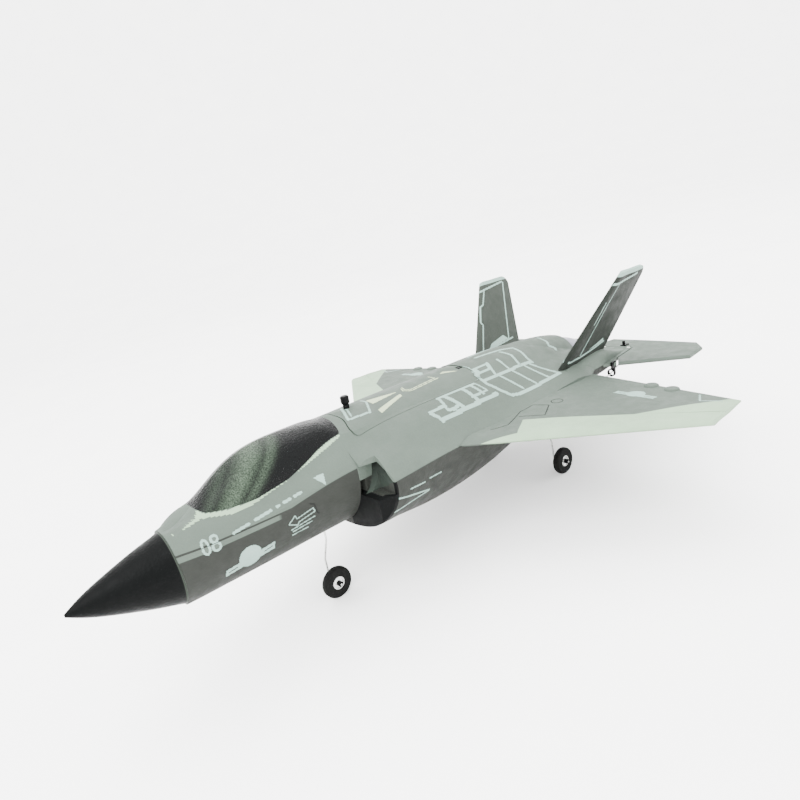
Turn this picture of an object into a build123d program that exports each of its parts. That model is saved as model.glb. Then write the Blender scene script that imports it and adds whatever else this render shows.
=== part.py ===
"""Small radio-controlled foam jet with a ducted fan and fixed tricycle gear.

The airframe is drawn in its own axes: X to port, Y aft from the nose tip, Z up from the
wing plane, all in millimetres. The model stands nose-up on its three wheels, so each node
is pitched and moved to the row frame when it is written: origin on the floor, midway
between nose and tail, nose towards -Y.
"""
from build123d import *
import math
import os

# ---- Overall sizes -----------------------------------------------------------------
tail_end_y = 430.6           # trailing edge of the elevators, aft of the nose tip
wing_tip_x = 155.5           # half of the wing span
fin_height = 62.4            # along the canted fin, above its root
fin_cant = 23.8              # degrees outward from upright

# ---- Nose cone ---------------------------------------------------------------------
nose_tip_z = -8.1
nose_base_y = 47.0
nose_base_z = -10.4          # centre of the cone's base
nose_base_half_width = 16.9
nose_base_half_height = 18.9
nose_power = 0.74            # fullness of the ogive
nose_tip_share = 0.012       # how blunt the tip is
nose_spigot_radius = 9.0
nose_spigot_length = 6.0

# ---- Fuselage outline --------------------------------------------------------------
# Each section: station y, top z, deck points, sill point, flank points, chine point,
# lower points, keel z. The sill point follows the canopy edge and then the hatch line.
intake_station = 142.0
FORWARD_SECTIONS = [
    (47.0, 9.0, [(8.6, 7.1)], (13.2, 3.0), [(16.4, -2.6)], (17.5, -9.0),
     [(15.2, -19.5), (8.6, -27.3)], -29.7),
    (64.4, 15.0, [(6.5, 14.4)], (11.8, 12.2), [(16.8, 6.2)], (20.0, -1.5),
     [(18.0, -15.5), (11.0, -26.2)], -29.8),
    (76.0, 23.2, [(7.2, 20.6)], (14.0, 11.0), [(18.4, 6.2)], (21.2, 0.0),
     [(19.0, -15.0), (11.6, -26.0)], -30.0),
    (90.0, 30.2, [(8.6, 26.8)], (15.8, 10.0), [(19.8, 6.2)], (22.6, 1.6),
     [(20.0, -14.5), (12.0, -26.0)], -30.2),
    (109.0, 33.4, [(10.0, 29.6)], (18.0, 13.4), [(21.6, 8.6)], (24.4, 3.6),
     [(21.2, -14.0), (12.6, -25.8)], -30.5),
    (129.0, 32.6, [(10.4, 29.8)], (16.9, 20.8), [(22.8, 13.0)], (27.5, 6.2),
     [(23.4, -13.5), (14.0, -25.2)], -30.8),
    (intake_station, 31.3, [(10.8, 29.2)], (17.4, 25.0), [(25.0, 17.2)], (31.4, 8.6),
     [(26.5, -13.0), (15.2, -25.0)], -30.8),
]
NACELLE_SECTIONS = [
    (intake_station, 31.3, [(10.8, 29.2)], (17.4, 25.0), [(25.0, 17.2), (31.4, 11.0)], (51.8, 1.5),
     [(45.5, -19.5), (29.5, -27.6)], -30.0),
    (150.0, 30.9, [(11.6, 28.7)], (20.8, 24.2), [(31.0, 15.4), (42.0, 10.2)], (51.6, 1.5),
     [(44.4, -20.5), (29.0, -28.8)], -29.8),
    (168.0, 30.8, [(11.6, 28.8)], (21.2, 24.0), [(33.5, 16.4), (44.6, 7.4)], (51.0, 1.4),
     [(40.5, -22.5), (28.0, -32.0)], -32.0),
    (196.0, 30.8, [(11.6, 28.8)], (21.6, 23.8), [(34.5, 16.6), (45.2, 6.0)], (50.6, 1.4),
     [(37.5, -24.0), (26.5, -35.2)], -34.4),
    (230.0, 30.2, [(11.6, 28.3)], (22.2, 23.0), [(34.5, 15.6), (45.6, 5.4)], (53.2, 1.2),
     [(37.0, -22.5), (25.0, -35.2)], -35.0),
    (263.0, 30.2, [(11.6, 28.2)], (22.4, 22.4), [(34.0, 14.6), (46.2, 5.2)], (55.0, 1.1),
     [(37.0, -17.5), (24.0, -31.2)], -31.8),
    (297.0, 29.4, [(11.6, 27.4)], (22.4, 21.4), [(33.5, 13.6), (46.6, 5.0)], (55.2, 0.9),
     [(39.0, -11.5), (22.5, -24.6)], -27.0),
    (325.0, 26.4, [(11.2, 24.4)], (21.8, 18.2), [(31.5, 13.0), (43.0, 8.2)], (52.6, 0.6),
     [(41.5, -8.5), (20.5, -21.4)], -24.0),
    (341.0, 22.6, [(10.8, 20.8)], (20.4, 15.6), [(30.5, 12.4), (40.8, 8.4)], (47.6, 0.3),
     [(39.5, -8.0), (19.5, -18.0)], -20.5),
    (361.0, 16.0, [(9.6, 14.6)], (18.0, 11.6), [(27.0, 9.8), (36.6, 6.6)], (41.2, 0.0),
     [(35.5, -7.0), (17.0, -13.0)], -15.0),
]
# Round fairing over the fan, from the spine to the nozzle: y, centre z, half width, half height
FAIRING = [
    (286.0, 6.0, 22.0, 22.4),
    (312.0, 5.0, 22.6, 23.2),
    (335.0, 3.6, 22.2, 23.0),
    (350.0, 2.2, 21.0, 22.6),
    (366.0, 0.8, 18.9, 20.6),
]

# ---- Intakes -----------------------------------------------------------------------
lip_chamfer_start_x = 44.5   # the nacelle's front is cut back outboard of here
lip_chamfer_end = (53.5, 149.0)
lip_depth = 3.0
lip_inner_x = 15.0
roof_edge = [(33.0, 141.0), (37.0, 150.4), (46.5, 149.0), (53.5, 149.5)]
RAMP_OUTLINE = [(31.8, -7.8), (44.5, -2.6), (50.3, 0.8), (45.8, 6.4), (38.5, 9.4), (32.0, 8.8)]
ramp_back_y = 154.0
ramp_depth = 2.4
ramp_foot_z = -8.0
ramp_roof_z = 16.0

# ---- Canopy and hatch --------------------------------------------------------------
SILL_LINE = [(62.0, 15.8), (66.5, 12.8), (76.0, 10.9), (90.0, 10.0), (109.0, 13.4),
             (129.0, 20.8), (143.6, 25.0)]
canopy_rear_low = (144.4, 25.8)
canopy_rear_high = (149.2, 36.0)
hatch_front_y = 151.6
hatch_corner_y = 149.6
hatch_half_width = 23.8
hatch_hinge_y = 251.0
hatch_hinge_z = 27.5
hatch_floor_z = 19.6
hatch_front_gap = 0.8
hatch_side_gap = 0.35
hatch_floor_gap = 0.2
hatch_round_radius = 2.6
hatch_round_gap = 0.65
hinge_knuckle_radius = 2.0
hinge_pin_radius = 0.5
hinge_running_gap = 0.05
hinge_tab_half_width = 5.0
hinge_ear_width = 3.0
hinge_ear_gap = 0.4
hinge_leaf_length = 7.0
knob_y = 163.5
knob_stem_radius = 1.9
knob_head_radius = 2.6
knob_root_z = 28.0
knob_neck_z = 34.2
knob_top_z = 38.2
magnet_radius = 2.5
magnet_thickness = 1.5
magnet_place = (13.0, 157.0)

# ---- Wings -------------------------------------------------------------------------
wing_root_x = 50.2
wing_root_leading_y = 200.0
wing_root_trailing_y = 336.0
wing_tip_leading_y = 273.6
wing_tip_trailing_y = 310.0
wing_root_thickness = 5.2
wing_tip_thickness = 3.0
wing_mid_z = 0.9
flap_line = [(53.0, 229.0), (61.5, 242.5), (79.5, 253.6), (118.2, 272.5), (157.0, 290.6)]
groove_width = 0.6
groove_depth = 0.45
spar_radius = 1.25
spar_y = 249.0
spar_half_length = 96.0
bump_places = [99.7, 114.2]
bump_size = (4.6, 1.7)       # radius and half thickness

# ---- Fins --------------------------------------------------------------------------
fin_root = (38.6, 10.0)      # x and z of the fin's root line
fin_root_leading_y = 313.0
fin_root_trailing_y = 370.0
fin_tip_leading_y = 359.5
fin_tip_trailing_y = 395.5
fin_root_thickness = 3.8
fin_tip_thickness = 2.4
fin_tip_corner = 6.0
fin_slot_depth = 3.6

# ---- Tail booms, tailplane and elevators -------------------------------------------
BOOMS = [  # y, inner x, outer x, bottom z, top z
    (318.0, 24.0, 44.5, -6.0, 9.4),
    (345.0, 24.0, 44.6, -6.5, 11.4),
    (368.0, 24.0, 43.8, -5.4, 10.6),
    (386.0, 25.5, 41.5, -3.6, 4.6),
    (402.0, 28.0, 39.0, -2.0, 2.2),
]
tail_thickness = 2.8
tail_edge_radius = 1.1
hinge_y = 407.5
elevator_inner_x = 11.0
TAILPLANE = [(28.5, 346.0), (40.8, 356.6), (51.4, 365.4), (44.6, 377.4), (41.6, 405.6)]
TAILPLANE_INNER = [(13.0, 392.0), (28.0, 371.0)]
diagonal_gap = 1.2
ELEVATOR_TIP = [(93.2, 390.8), (91.8, 413.0), (83.0, 425.0), (44.8, 428.6)]
elevator_inner_corner = 6.0
hinge_wire_radius = 0.4
hinge_wire_gap = 0.04
hinge_lug_radius = 1.25
hinge_lug_width = 2.4
hinge_lug_length = 9.0
hinge_lug_places = [17.0, 38.0]
hinge_slot_gap = 0.45

# ---- Elevator drive ----------------------------------------------------------------
arm_length = 8.0             # elevator horn, from the hinge to the pushrod's pin at rest
horn_slot_length = 0.5       # the pin's slot runs this far down, as the pin moves straight
horn_x = 32.4
horn_thickness = 1.2
horn_stub_height = 3.8
servo_y = 322.0
servo_z = -7.0
servo_box = (12.4, 16.0, 7.0)
servo_inner_x = 25.0
slider_travel = 2.9          # of the servo's slider and the pushrod, each way
slider_width = 3.0
slider_thickness = 1.2
slider_gap = 0.4
slider_depth = 2.0           # how far the slider reaches into the servo
clamp_size = (2.4, 4.0, 3.0)
rod_x = 49.4
rod_radius = 0.5
rod_hole_gap = 0.1
clamp_gap = 0.02                 # between the pushrod and the slider's clamp
rod_side_gap = 0.3
rod_bend_radius = 3.0
rod_knee = (358.0, -6.0)     # y and z of the pushrod's bend, behind the servo
guide_y = 365.0
guide_eye_radius = 2.1
guide_eye_wall = 0.9
guide_eye_length = 2.0
guide_strap_width = 1.4

# ---- Ducted fan and nozzle ---------------------------------------------------------
fan_axis_z = 1.0
fan_bore_radius = 15.0
duct_wall = 1.2
duct_front_y = 304.0
duct_length = 32.0
rotor_front_y = 309.0
rotor_length = 8.0
rotor_hub_radius = 6.4
rotor_tip_gap = 0.4
rotor_blades = 8
rotor_blade_pitch = 52.0
rotor_blade_thickness = 0.9
rotor_blade_chord = 7.0
spinner_length = 6.0
motor_radius = 5.6
motor_length = 16.0
motor_sleeve_wall = 0.9
motor_gap = 2.0
fan_shaft_radius = 0.75
fan_shaft_gap = 0.05
stator_vanes = 5
stator_vane_thickness = 1.0
nozzle_front_y = 366.0
nozzle_rear_y = 389.5
nozzle_profile = [(18.4, 366.0), (17.6, 371.0), (15.0, 380.0), (11.4, 389.5)]
nozzle_wall = 1.5
nozzle_petals = 12
nozzle_slit = (1.0, 6.0)
tail_pipe_radius = 13.2
inlet_half_width = 11.0
INLET_SIDE = [(304.0, -13.0), (304.0, 15.0), (292.0, 12.0), (264.0, -8.0), (260.0, -45.0),
              (293.0, -45.0)]

# ---- Inside the fuselage -----------------------------------------------------------
split_z = 0.0                # where the upper and lower fuselage mouldings meet
bay_half_width = 16.5
bay_front_y = 162.0
bay_rear_y = 241.0
bay_floor_z = -22.0
battery_size = (22.0, 46.0, 14.0)
battery_y = 190.0
tray_thickness = 1.2
strap_width = 12.0
strap_thickness = 0.6
connector_size = (9.0, 7.0, 6.0)
receiver_size = (20.0, 20.0, 1.2)
receiver_y = 229.0
esc_size = (13.0, 18.0, 4.0)
cell_edge = 1.5

# ---- Landing gear ------------------------------------------------------------------
wheel_radius = 9.5
wheel_width = 4.6
tyre_corner = 1.6
hub_radius = 3.8
hub_width = 4.4
axle_radius = 0.6
axle_gap = 0.05
collar_radius = 1.6
collar_width = 1.8
collar_gap = 0.15
nose_wheel = (0.0, 130.4, -66.9)    # the middle of each wheel
main_wheel = (38.2, 306.8, -54.6)
gear_bend_radius = 2.5
knee_rise = 13.0             # straight run of a leg above its axle
leg_offset = 7.6             # from the wheel's middle to its leg
socket_size = (9.0, 12.0, 8.0)
nose_socket = (0.0, 130.4, -29.0)   # x, y and the underside's z
main_socket = (30.0, 300.0, -12.5)
leg_seat = 6.5               # how far a leg goes into its socket
leg_straight = 9.0           # straight run of a leg below its socket


# ---- Helpers -----------------------------------------------------------------------
def pitched(shape):
    """Turns a shape nose-up, so that both axles lie at one height."""
    rise = main_wheel[2] - nose_wheel[2]
    run = main_wheel[1] - nose_wheel[1]
    return Rot(-math.degrees(math.atan2(rise, run)), 0, 0) * shape


def row_origin():
    """The row frame's origin, seen from the pitched airframe."""
    front_y = pitched(nose_cone()).bounding_box().min.Y
    rear_y = pitched(elevator()).bounding_box().max.Y
    floor_z = pitched(tyre(nose_wheel)).bounding_box().min.Z
    return (0, (front_y + rear_y) / 2, floor_z)


def write(name, *shapes):
    """Writes one node's solids as parts/name.step, in the row frame."""
    to_row_frame = Pos(*[-value for value in ORIGIN])
    solids = [to_row_frame * pitched(solid) for shape in shapes for solid in shape.solids()]
    body = solids[0] if len(solids) == 1 else Compound(children=solids)
    export_step(body, f"parts/{name}.step")


def write_pair(name, *shapes):
    """Writes a port part and its starboard twin."""
    write(f"{name}_left", *shapes)
    write(f"{name}_right", *[mirrored(shape) for shape in shapes])


def mirrored(shape):
    """The starboard twin of a port-side shape."""
    return shape.mirror(Plane.YZ)


def both_sides(shape):
    """A port-side shape and its starboard twin."""
    return [shape, mirrored(shape)]


def box_between(low, high):
    """A box from its lowest to its highest corner."""
    size = [high[i] - low[i] for i in range(3)]
    centre = [(high[i] + low[i]) / 2 for i in range(3)]
    return Pos(*centre) * Box(*size)


def rod_along(axis, start, length, radius):
    """A cylinder from start along +X, +Y or +Z."""
    turn = {"X": Rot(0, 90, 0), "Y": Rot(-90, 0, 0), "Z": Rot(0, 0, 0)}[axis]
    align = (Align.CENTER, Align.CENTER, Align.MIN)
    return Pos(*start) * turn * Cylinder(radius, length, align=align)


def prism_up(outline, low_z, high_z):
    """A plan outline (x, y) extruded between two heights."""
    face = make_face(Polyline(*[(x, y, low_z) for x, y in outline], close=True))
    return extrude(face, amount=high_z - low_z, dir=(0, 0, 1))


def prism_across(outline, low_x, high_x):
    """A side outline (y, z) extruded across the airframe."""
    face = make_face(Polyline(*[(low_x, y, z) for y, z in outline], close=True))
    return extrude(face, amount=high_x - low_x, dir=(1, 0, 0))


def prism_aft(outline, front_y, rear_y):
    """A front outline (x, z) extruded aft."""
    face = make_face(Polyline(*[(x, front_y, z) for x, z in outline], close=True))
    return extrude(face, amount=rear_y - front_y, dir=(0, 1, 0))


def turned_about_fan_axis(profile):
    """A closed profile of (radius, y) turned about the fan's axis."""
    face = make_face(Polyline(*[(r, y, fan_axis_z) for r, y in profile], close=True))
    return revolve(face, axis=Axis((0, 0, fan_axis_z), (0, 1, 0)))


def bent_wire(points, bend_radius, radius):
    """Round wire along straight runs joined by tangent bends."""
    path = FilletPolyline(*points, radius=bend_radius)
    start = Plane(origin=path @ 0, z_dir=path % 0)
    return sweep(start * Circle(radius), path=path)


def on_line(start, end, share):
    """The point a given share of the way from start to end."""
    return tuple(a + share * (b - a) for a, b in zip(start, end))


# ---- Outer body --------------------------------------------------------------------
def section_wire(section):
    """One closed fuselage outline: deck, flank and belly curves, port then starboard."""
    y, top, deck, sill, flank, chine, lower, keel = section

    def half(side):
        deck_points = [(0, top)] + deck + [sill]
        flank_points = [sill] + flank + [chine]
        lower_points = [chine] + lower + [(0, keel)]
        return [[(side * x, y, z) for x, z in points]
                for points in (deck_points, flank_points, lower_points)]

    edges = [Spline(*points) for points in half(1)]
    edges += [Spline(*points[::-1]) for points in half(-1)[::-1]]
    return Wire(edges)


def upright_plane(x, y, z):
    """A plane that faces aft at a station."""
    return Plane(origin=(x, y, z), x_dir=(1, 0, 0), z_dir=(0, 1, 0))


def tail_boom():
    """The boom that carries a fin and a tailplane half."""
    wires = []
    for y, inner, outer, bottom, top in BOOMS:
        plane = upright_plane((inner + outer) / 2, y, (bottom + top) / 2)
        corner = 0.3 * (top - bottom)
        wires.append((plane * RectangleRounded(outer - inner, top - bottom, corner)).wire())
    return Solid.make_loft(wires)


def fan_fairing():
    """The round fairing over the fan, from the spine to the nozzle."""
    rings = []
    for y, z, half_width, half_height in FAIRING:
        rings.append((upright_plane(0, y, z) * Ellipse(half_width, half_height)).wire())
    return Solid.make_loft(rings)


def intake_cuts():
    """The space in front of the port nacelle: its cut-back corner and the roof's edge."""
    far_x = 70.0
    start_y = intake_station - 2.0
    chamfer_x, chamfer_y = lip_chamfer_end
    corner = prism_up([(lip_chamfer_start_x, intake_station), (far_x, intake_station),
                       (far_x, chamfer_y), (chamfer_x, chamfer_y)], -60.0, 60.0)
    roof = prism_up([(roof_edge[0][0], start_y), (far_x, start_y), (far_x, roof_edge[-1][1])]
                    + roof_edge[::-1], ramp_foot_z + 2.0, 60.0)
    return [corner, roof]


def mould_line():
    """The whole outer body, canopy and hatch included, with nacelles and booms."""
    body = Solid.make_loft([section_wire(s) for s in NACELLE_SECTIONS])
    body += fan_fairing()
    for boom in both_sides(tail_boom()):
        body += boom
    root = box_between((wing_root_x, wing_root_leading_y - 2.0, -30.0),
                       (80.0, wing_root_trailing_y + 30.0, 30.0))
    for tool in intake_cuts() + [root]:
        for cutter in both_sides(tool):
            body -= cutter
    body += Solid.make_loft([section_wire(s) for s in FORWARD_SECTIONS])
    return body


# ---- Intakes -----------------------------------------------------------------------
def ramp_space():
    """The port recess above the black lip, as a prism running aft from the lip's face."""
    return prism_aft(RAMP_OUTLINE, intake_station, ramp_back_y)


def ramp_front():
    """The open space in front of the ramp: a quarter ellipse from the lip to the roof."""
    run = ramp_back_y - ramp_depth - intake_station
    rise = ramp_roof_z - ramp_foot_z
    steps = 12
    points = [(intake_station - 4.0, ramp_roof_z), (intake_station - 4.0, ramp_foot_z)]
    for i in range(steps + 1):
        angle = math.radians(90.0 * i / steps)
        points.append((intake_station + run * math.sin(angle),
                       ramp_roof_z - rise * math.cos(angle)))
    return prism_across(points, 25.0, 60.0)


def lip_space():
    """The port nacelle's front slice below the ramp, which the black lip fills."""
    chamfer_x, chamfer_y = lip_chamfer_end
    out_x = chamfer_x + 3.0
    front = [(lip_inner_x, intake_station - 1.0), (lip_chamfer_start_x, intake_station - 1.0),
             (out_x, chamfer_y + 1.0), (out_x, chamfer_y + lip_depth + 2.0),
             (lip_chamfer_start_x, intake_station + lip_depth),
             (lip_inner_x, intake_station + lip_depth)]
    return prism_up(front, -60.0, RAMP_OUTLINE[2][1]) - ramp_space() - forward_box()


def forward_box():
    """The space ahead of the nacelles' front."""
    return box_between((-80.0, 0.0, -80.0), (80.0, intake_station, 80.0))


# ---- Canopy and hatch --------------------------------------------------------------
def canopy_knife():
    """Everything above the sill line and ahead of the canopy's rear edge."""
    outline = SILL_LINE + [canopy_rear_low, canopy_rear_high, (SILL_LINE[0][0], canopy_rear_high[1])]
    return prism_across(outline, -60.0, 60.0)


def hatch_space(front_gap, side_gap, floor_gap, round_radius):
    """The hatch's own space, less the given gaps: S-curved front, round rear edge."""
    half = hatch_half_width - side_gap
    front = hatch_front_y + front_gap
    corner = hatch_corner_y + front_gap
    rear = hatch_hinge_y - side_gap
    curve = Spline((0, front), (0.55 * half, front + 0.1), (half - 2.5, corner + 0.4),
                   (half, corner + 4.0), tangents=((1, 0), (0, 1)))
    side = Line((half, corner + 4.0), (half, rear))
    back = Line((half, rear), (0, rear))
    port = [curve, side, back]
    plan = make_face(Wire(port + [edge.mirror(Plane.YZ) for edge in port]))
    low_z = hatch_floor_z + floor_gap
    lid = extrude(Pos(0, 0, low_z) * plan, amount=30.0, dir=(0, 0, 1))
    edge = rod_along("X", (-half, hatch_hinge_y, hatch_hinge_z), 2 * half, round_radius)
    return lid + edge


def hinge_leaf(low_x, high_x, direction, radius):
    """Half a hinge: a barrel on the axis with a flat leaf ahead of it or behind it."""
    barrel = rod_along("X", (low_x, hatch_hinge_y, hatch_hinge_z), high_x - low_x, radius)
    ends = sorted((hatch_hinge_y, hatch_hinge_y + direction * hinge_leaf_length))
    leaf = box_between((low_x, ends[0], hatch_hinge_z - radius),
                       (high_x, ends[1], hatch_hinge_z + 0.4 * radius))
    return barrel + leaf


def hinge_bore(radius):
    """A bore along the hatch hinge's axis."""
    reach = hinge_tab_half_width + hinge_ear_gap + hinge_ear_width + 1.0
    return rod_along("X", (-reach, hatch_hinge_y, hatch_hinge_z), 2 * reach, radius)


def hinge_tab():
    """The leaf and barrel that turn with the hatch."""
    tab = hinge_leaf(-hinge_tab_half_width, hinge_tab_half_width, -1, hinge_knuckle_radius)
    return tab - hinge_bore(hinge_pin_radius + hinge_running_gap)


def hinge_ear():
    """The port ear that holds the pin on the fuselage."""
    inner = hinge_tab_half_width + hinge_ear_gap
    return hinge_leaf(inner, inner + hinge_ear_width, 1, hinge_knuckle_radius)


def hinge_ear_pocket():
    """What the lid leaves free round the port ear."""
    inner = hinge_tab_half_width
    outer = inner + 2 * hinge_ear_gap + hinge_ear_width
    reach = hinge_knuckle_radius + hinge_ear_gap
    return box_between((inner, hatch_hinge_y - reach, hatch_floor_z - 5.0),
                       (outer, hatch_hinge_y + 6.0, hatch_hinge_z + 10.0))


def hinge_pin():
    """Wire pin through both ears and the tab."""
    reach = hinge_tab_half_width + hinge_ear_gap + hinge_ear_width
    return rod_along("X", (-reach, hatch_hinge_y, hatch_hinge_z), 2 * reach, hinge_pin_radius)


def knob():
    """Black pull knob: a stem set into the lid and a wider waisted head."""
    neck = 0.72 * knob_head_radius
    profile = [(0, knob_root_z), (knob_stem_radius, knob_root_z), (knob_stem_radius, knob_neck_z - 2.0),
               (neck, knob_neck_z - 1.2), (knob_head_radius, knob_neck_z),
               (knob_head_radius, knob_top_z - 0.6), (knob_head_radius - 0.6, knob_top_z),
               (0, knob_top_z)]
    face = make_face(Polyline(*[(r, knob_y, z) for r, z in profile], close=True))
    return revolve(face, axis=Axis((0, knob_y, 0), (0, 0, 1)))


def magnet(low_z):
    """One disc magnet under the port side of the hatch's front."""
    return rod_along("Z", (*magnet_place, low_z), magnet_thickness, magnet_radius)


# ---- Nose cone ---------------------------------------------------------------------
def nose_cone():
    """Ogive of oval sections with a round spigot behind it."""
    shares = [0.0, 0.06, 0.16, 0.34, 0.56, 0.78, 1.0]
    rings = []
    for share in shares:
        size = max(share, nose_tip_share) ** nose_power
        centre_z = nose_tip_z + share * (nose_base_z - nose_tip_z)
        oval = Ellipse(size * nose_base_half_width, size * nose_base_half_height)
        rings.append((upright_plane(0, share * nose_base_y, centre_z) * oval).wire())
    spigot = rod_along("Y", (0, nose_base_y, nose_base_z), nose_spigot_length, nose_spigot_radius)
    return Solid.make_loft(rings) + spigot


# ---- Wings -------------------------------------------------------------------------
def wing_wire(x, leading, trailing, thickness):
    """The wing's section at one span station: round nose, thin blunt trailing edge."""
    chord = trailing - leading
    upper = [(0.0, 0.0), (0.02, 0.3), (0.16, 0.5), (0.55, 0.44), (1.0, 0.14)]
    top = [(x, leading + run * chord, wing_mid_z + share * thickness) for run, share in upper]
    bottom = [(x, y, 2 * wing_mid_z - z) for _, y, z in top]
    return Wire([Spline(*top), Line(top[-1], bottom[-1]), Spline(*bottom[::-1])])


def wing_top_z(x):
    """Height of the wing's crown at a span station."""
    share = (x - wing_root_x) / (wing_tip_x - wing_root_x)
    return wing_mid_z + (wing_root_thickness + share * (wing_tip_thickness - wing_root_thickness)) / 2


def flap_groove(start, end):
    """A shallow slot in the wing's upper surface between two plan points."""
    across = [(-(end[1] - start[1])), end[0] - start[0]]
    size = math.hypot(*across)
    step = [groove_width / 2 * part / size for part in across]
    wires = []
    for x, y in (start, end):
        low_z = wing_top_z(x) - groove_depth
        corners = [(x + s * step[0], y + s * step[1], z)
                   for s, z in ((-1, low_z), (1, low_z), (1, low_z + 3.0), (-1, low_z + 3.0))]
        wires.append(Wire([Line(corners[i], corners[(i + 1) % 4]) for i in range(4)]))
    return Solid.make_loft(wires, True)


def trailing_edge_bump(x, y):
    """A round lens-shaped lump standing out of the trailing edge."""
    radius, rise = bump_size
    top, rim = (x, y, wing_mid_z + rise), (x + radius, y, wing_mid_z)
    foot = (x, y, wing_mid_z - rise)
    upper = Spline(top, rim, tangents=((1, 0, 0), (0, 0, -1)))
    lower = Spline(rim, foot, tangents=((0, 0, -1), (-1, 0, 0)))
    face = make_face(Wire([upper, lower, Line(foot, top)]))
    return revolve(face, axis=Axis((x, y, 0), (0, 0, 1)))


def wing_panel():
    """Port wing panel with its grooved flap line, trailing-edge bumps and spar bore."""
    root = wing_wire(wing_root_x, wing_root_leading_y, wing_root_trailing_y, wing_root_thickness)
    tip = wing_wire(wing_tip_x, wing_tip_leading_y, wing_tip_trailing_y, wing_tip_thickness)
    panel = Solid.make_loft([root, tip], True)
    taper = (wing_root_trailing_y - wing_tip_trailing_y) / (wing_tip_x - wing_root_x)
    for x in bump_places:
        edge_y = wing_root_trailing_y - taper * (x - wing_root_x)
        panel += trailing_edge_bump(x, edge_y - 2.0)
    for start, end in zip(flap_line, flap_line[1:]):
        panel -= flap_groove(start, end)
    return panel - rod_along("X", (0, spar_y, wing_mid_z), spar_half_length, spar_radius)


def wing_spar():
    """Carbon rod through the fuselage into both wings."""
    return rod_along("X", (-spar_half_length, spar_y, wing_mid_z), 2 * spar_half_length, spar_radius)


# ---- Fins --------------------------------------------------------------------------
def lens_wire(leading, trailing, thickness, z):
    """A thin symmetric section in a level plane, round in front and blunt behind."""
    chord = trailing - leading
    side = [(0.0, 0.0), (0.32, 0.03), (0.5, 0.22), (0.46, 0.6), (0.16, 1.0)]
    port = [(share * thickness, leading + run * chord, z) for share, run in side]
    starboard = [(-x, y, z) for x, y, z in port]
    return Wire([Spline(*port), Line(port[-1], starboard[-1]), Spline(*starboard[::-1])])


def fin_solid():
    """Port fin, drawn upright at its root and then canted outward."""
    low_z = -fin_slot_depth
    lead_slope = (fin_tip_leading_y - fin_root_leading_y) / fin_height
    trail_slope = (fin_tip_trailing_y - fin_root_trailing_y) / fin_height
    wires = []
    for z, thickness in ((low_z, fin_root_thickness), (fin_height, fin_tip_thickness)):
        leading = fin_root_leading_y + lead_slope * z
        trailing = fin_root_trailing_y + trail_slope * z
        wires.append(lens_wire(leading, trailing, thickness, z))
    blade = Solid.make_loft(wires, True)
    corners = [(fin_root_leading_y + lead_slope * low_z - 0.1, low_z),
               (fin_tip_leading_y - 0.1, fin_height),
               (fin_tip_trailing_y + 0.1, fin_height),
               (fin_root_trailing_y + trail_slope * low_z + 0.1, low_z)]
    plan = make_face(Polyline(*[(-5.0, y, z) for y, z in corners], close=True))
    tips = [v for v in plan.vertices() if v.Z > fin_height - 0.1]
    slab = extrude(fillet(tips, fin_tip_corner), amount=10.0, dir=(1, 0, 0))
    return Pos(fin_root[0], 0, fin_root[1]) * Rot(0, fin_cant, 0) * (blade & slab)


# ---- Tailplane and elevators -------------------------------------------------------
def tail_slab(outline, soft_edges):
    """A flat foam plate with its outer edges rounded."""
    plate = prism_up(outline, -tail_thickness / 2, tail_thickness / 2)
    chosen = []
    for start, end in soft_edges:
        middle = on_line(start, end, 0.5)
        for z in (-tail_thickness / 2, tail_thickness / 2):
            chosen += [e for e in plate.edges()
                       if (e @ 0.5 - Vector(*middle, z)).length < 0.01]
    return fillet(chosen, tail_edge_radius)


def tailplane():
    """Port tailplane root, fixed in the boom, with slots for the hinge lugs."""
    outline = TAILPLANE + [(elevator_inner_x, TAILPLANE[-1][1])] + TAILPLANE_INNER
    plate = tail_slab(outline, [(TAILPLANE[1], TAILPLANE[2])])
    for x in hinge_lug_places:
        plate -= hinge_lug(x)
    return plate


def hinge_lug(x):
    """A hinge lug: a tongue set in the tailplane with a ring round the hinge wire."""
    low, high = x - hinge_lug_width / 2, x + hinge_lug_width / 2
    ring = rod_along("X", (low, hinge_y, 0), hinge_lug_width, hinge_lug_radius)
    tongue = box_between((low, hinge_y - hinge_lug_length, -0.5), (high, hinge_y, 0.5))
    bore = rod_along("X", (low - 1, hinge_y, 0), hinge_lug_width + 2, hinge_wire_radius + hinge_wire_gap)
    return ring + tongue - bore


def elevator():
    """Port elevator: a strip behind the hinge and a full-chord panel outboard of it."""
    plane = TAILPLANE
    strip_end_x = plane[-1][0] + 0.4
    diagonal = [(plane[-1][0] + diagonal_gap, plane[-1][1] - 0.8),
                (plane[3][0] + diagonal_gap, plane[3][1] + 0.5),
                (plane[2][0] + 0.9, plane[2][1] + 0.75)]
    inner_rear = (elevator_inner_x + 2.0, tail_end_y)
    outline = [(elevator_inner_x, hinge_y), (strip_end_x, hinge_y)] + diagonal + ELEVATOR_TIP
    outline += [inner_rear, (elevator_inner_x, tail_end_y - elevator_inner_corner)]
    soft = [(diagonal[-1], ELEVATOR_TIP[0])]
    soft += list(zip(ELEVATOR_TIP, ELEVATOR_TIP[1:] + [inner_rear]))
    panel = tail_slab(outline, soft)
    panel += rod_along("X", (elevator_inner_x, hinge_y, 0), strip_end_x - elevator_inner_x,
                       tail_thickness / 2)
    for x in hinge_lug_places:
        half = hinge_lug_width / 2 + hinge_slot_gap
        panel -= box_between((x - half, hinge_y - 3.0, -3.0),
                             (x + half, hinge_y + hinge_lug_radius + hinge_slot_gap, 3.0))
    return panel - hinge_wire() - horn()


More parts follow.
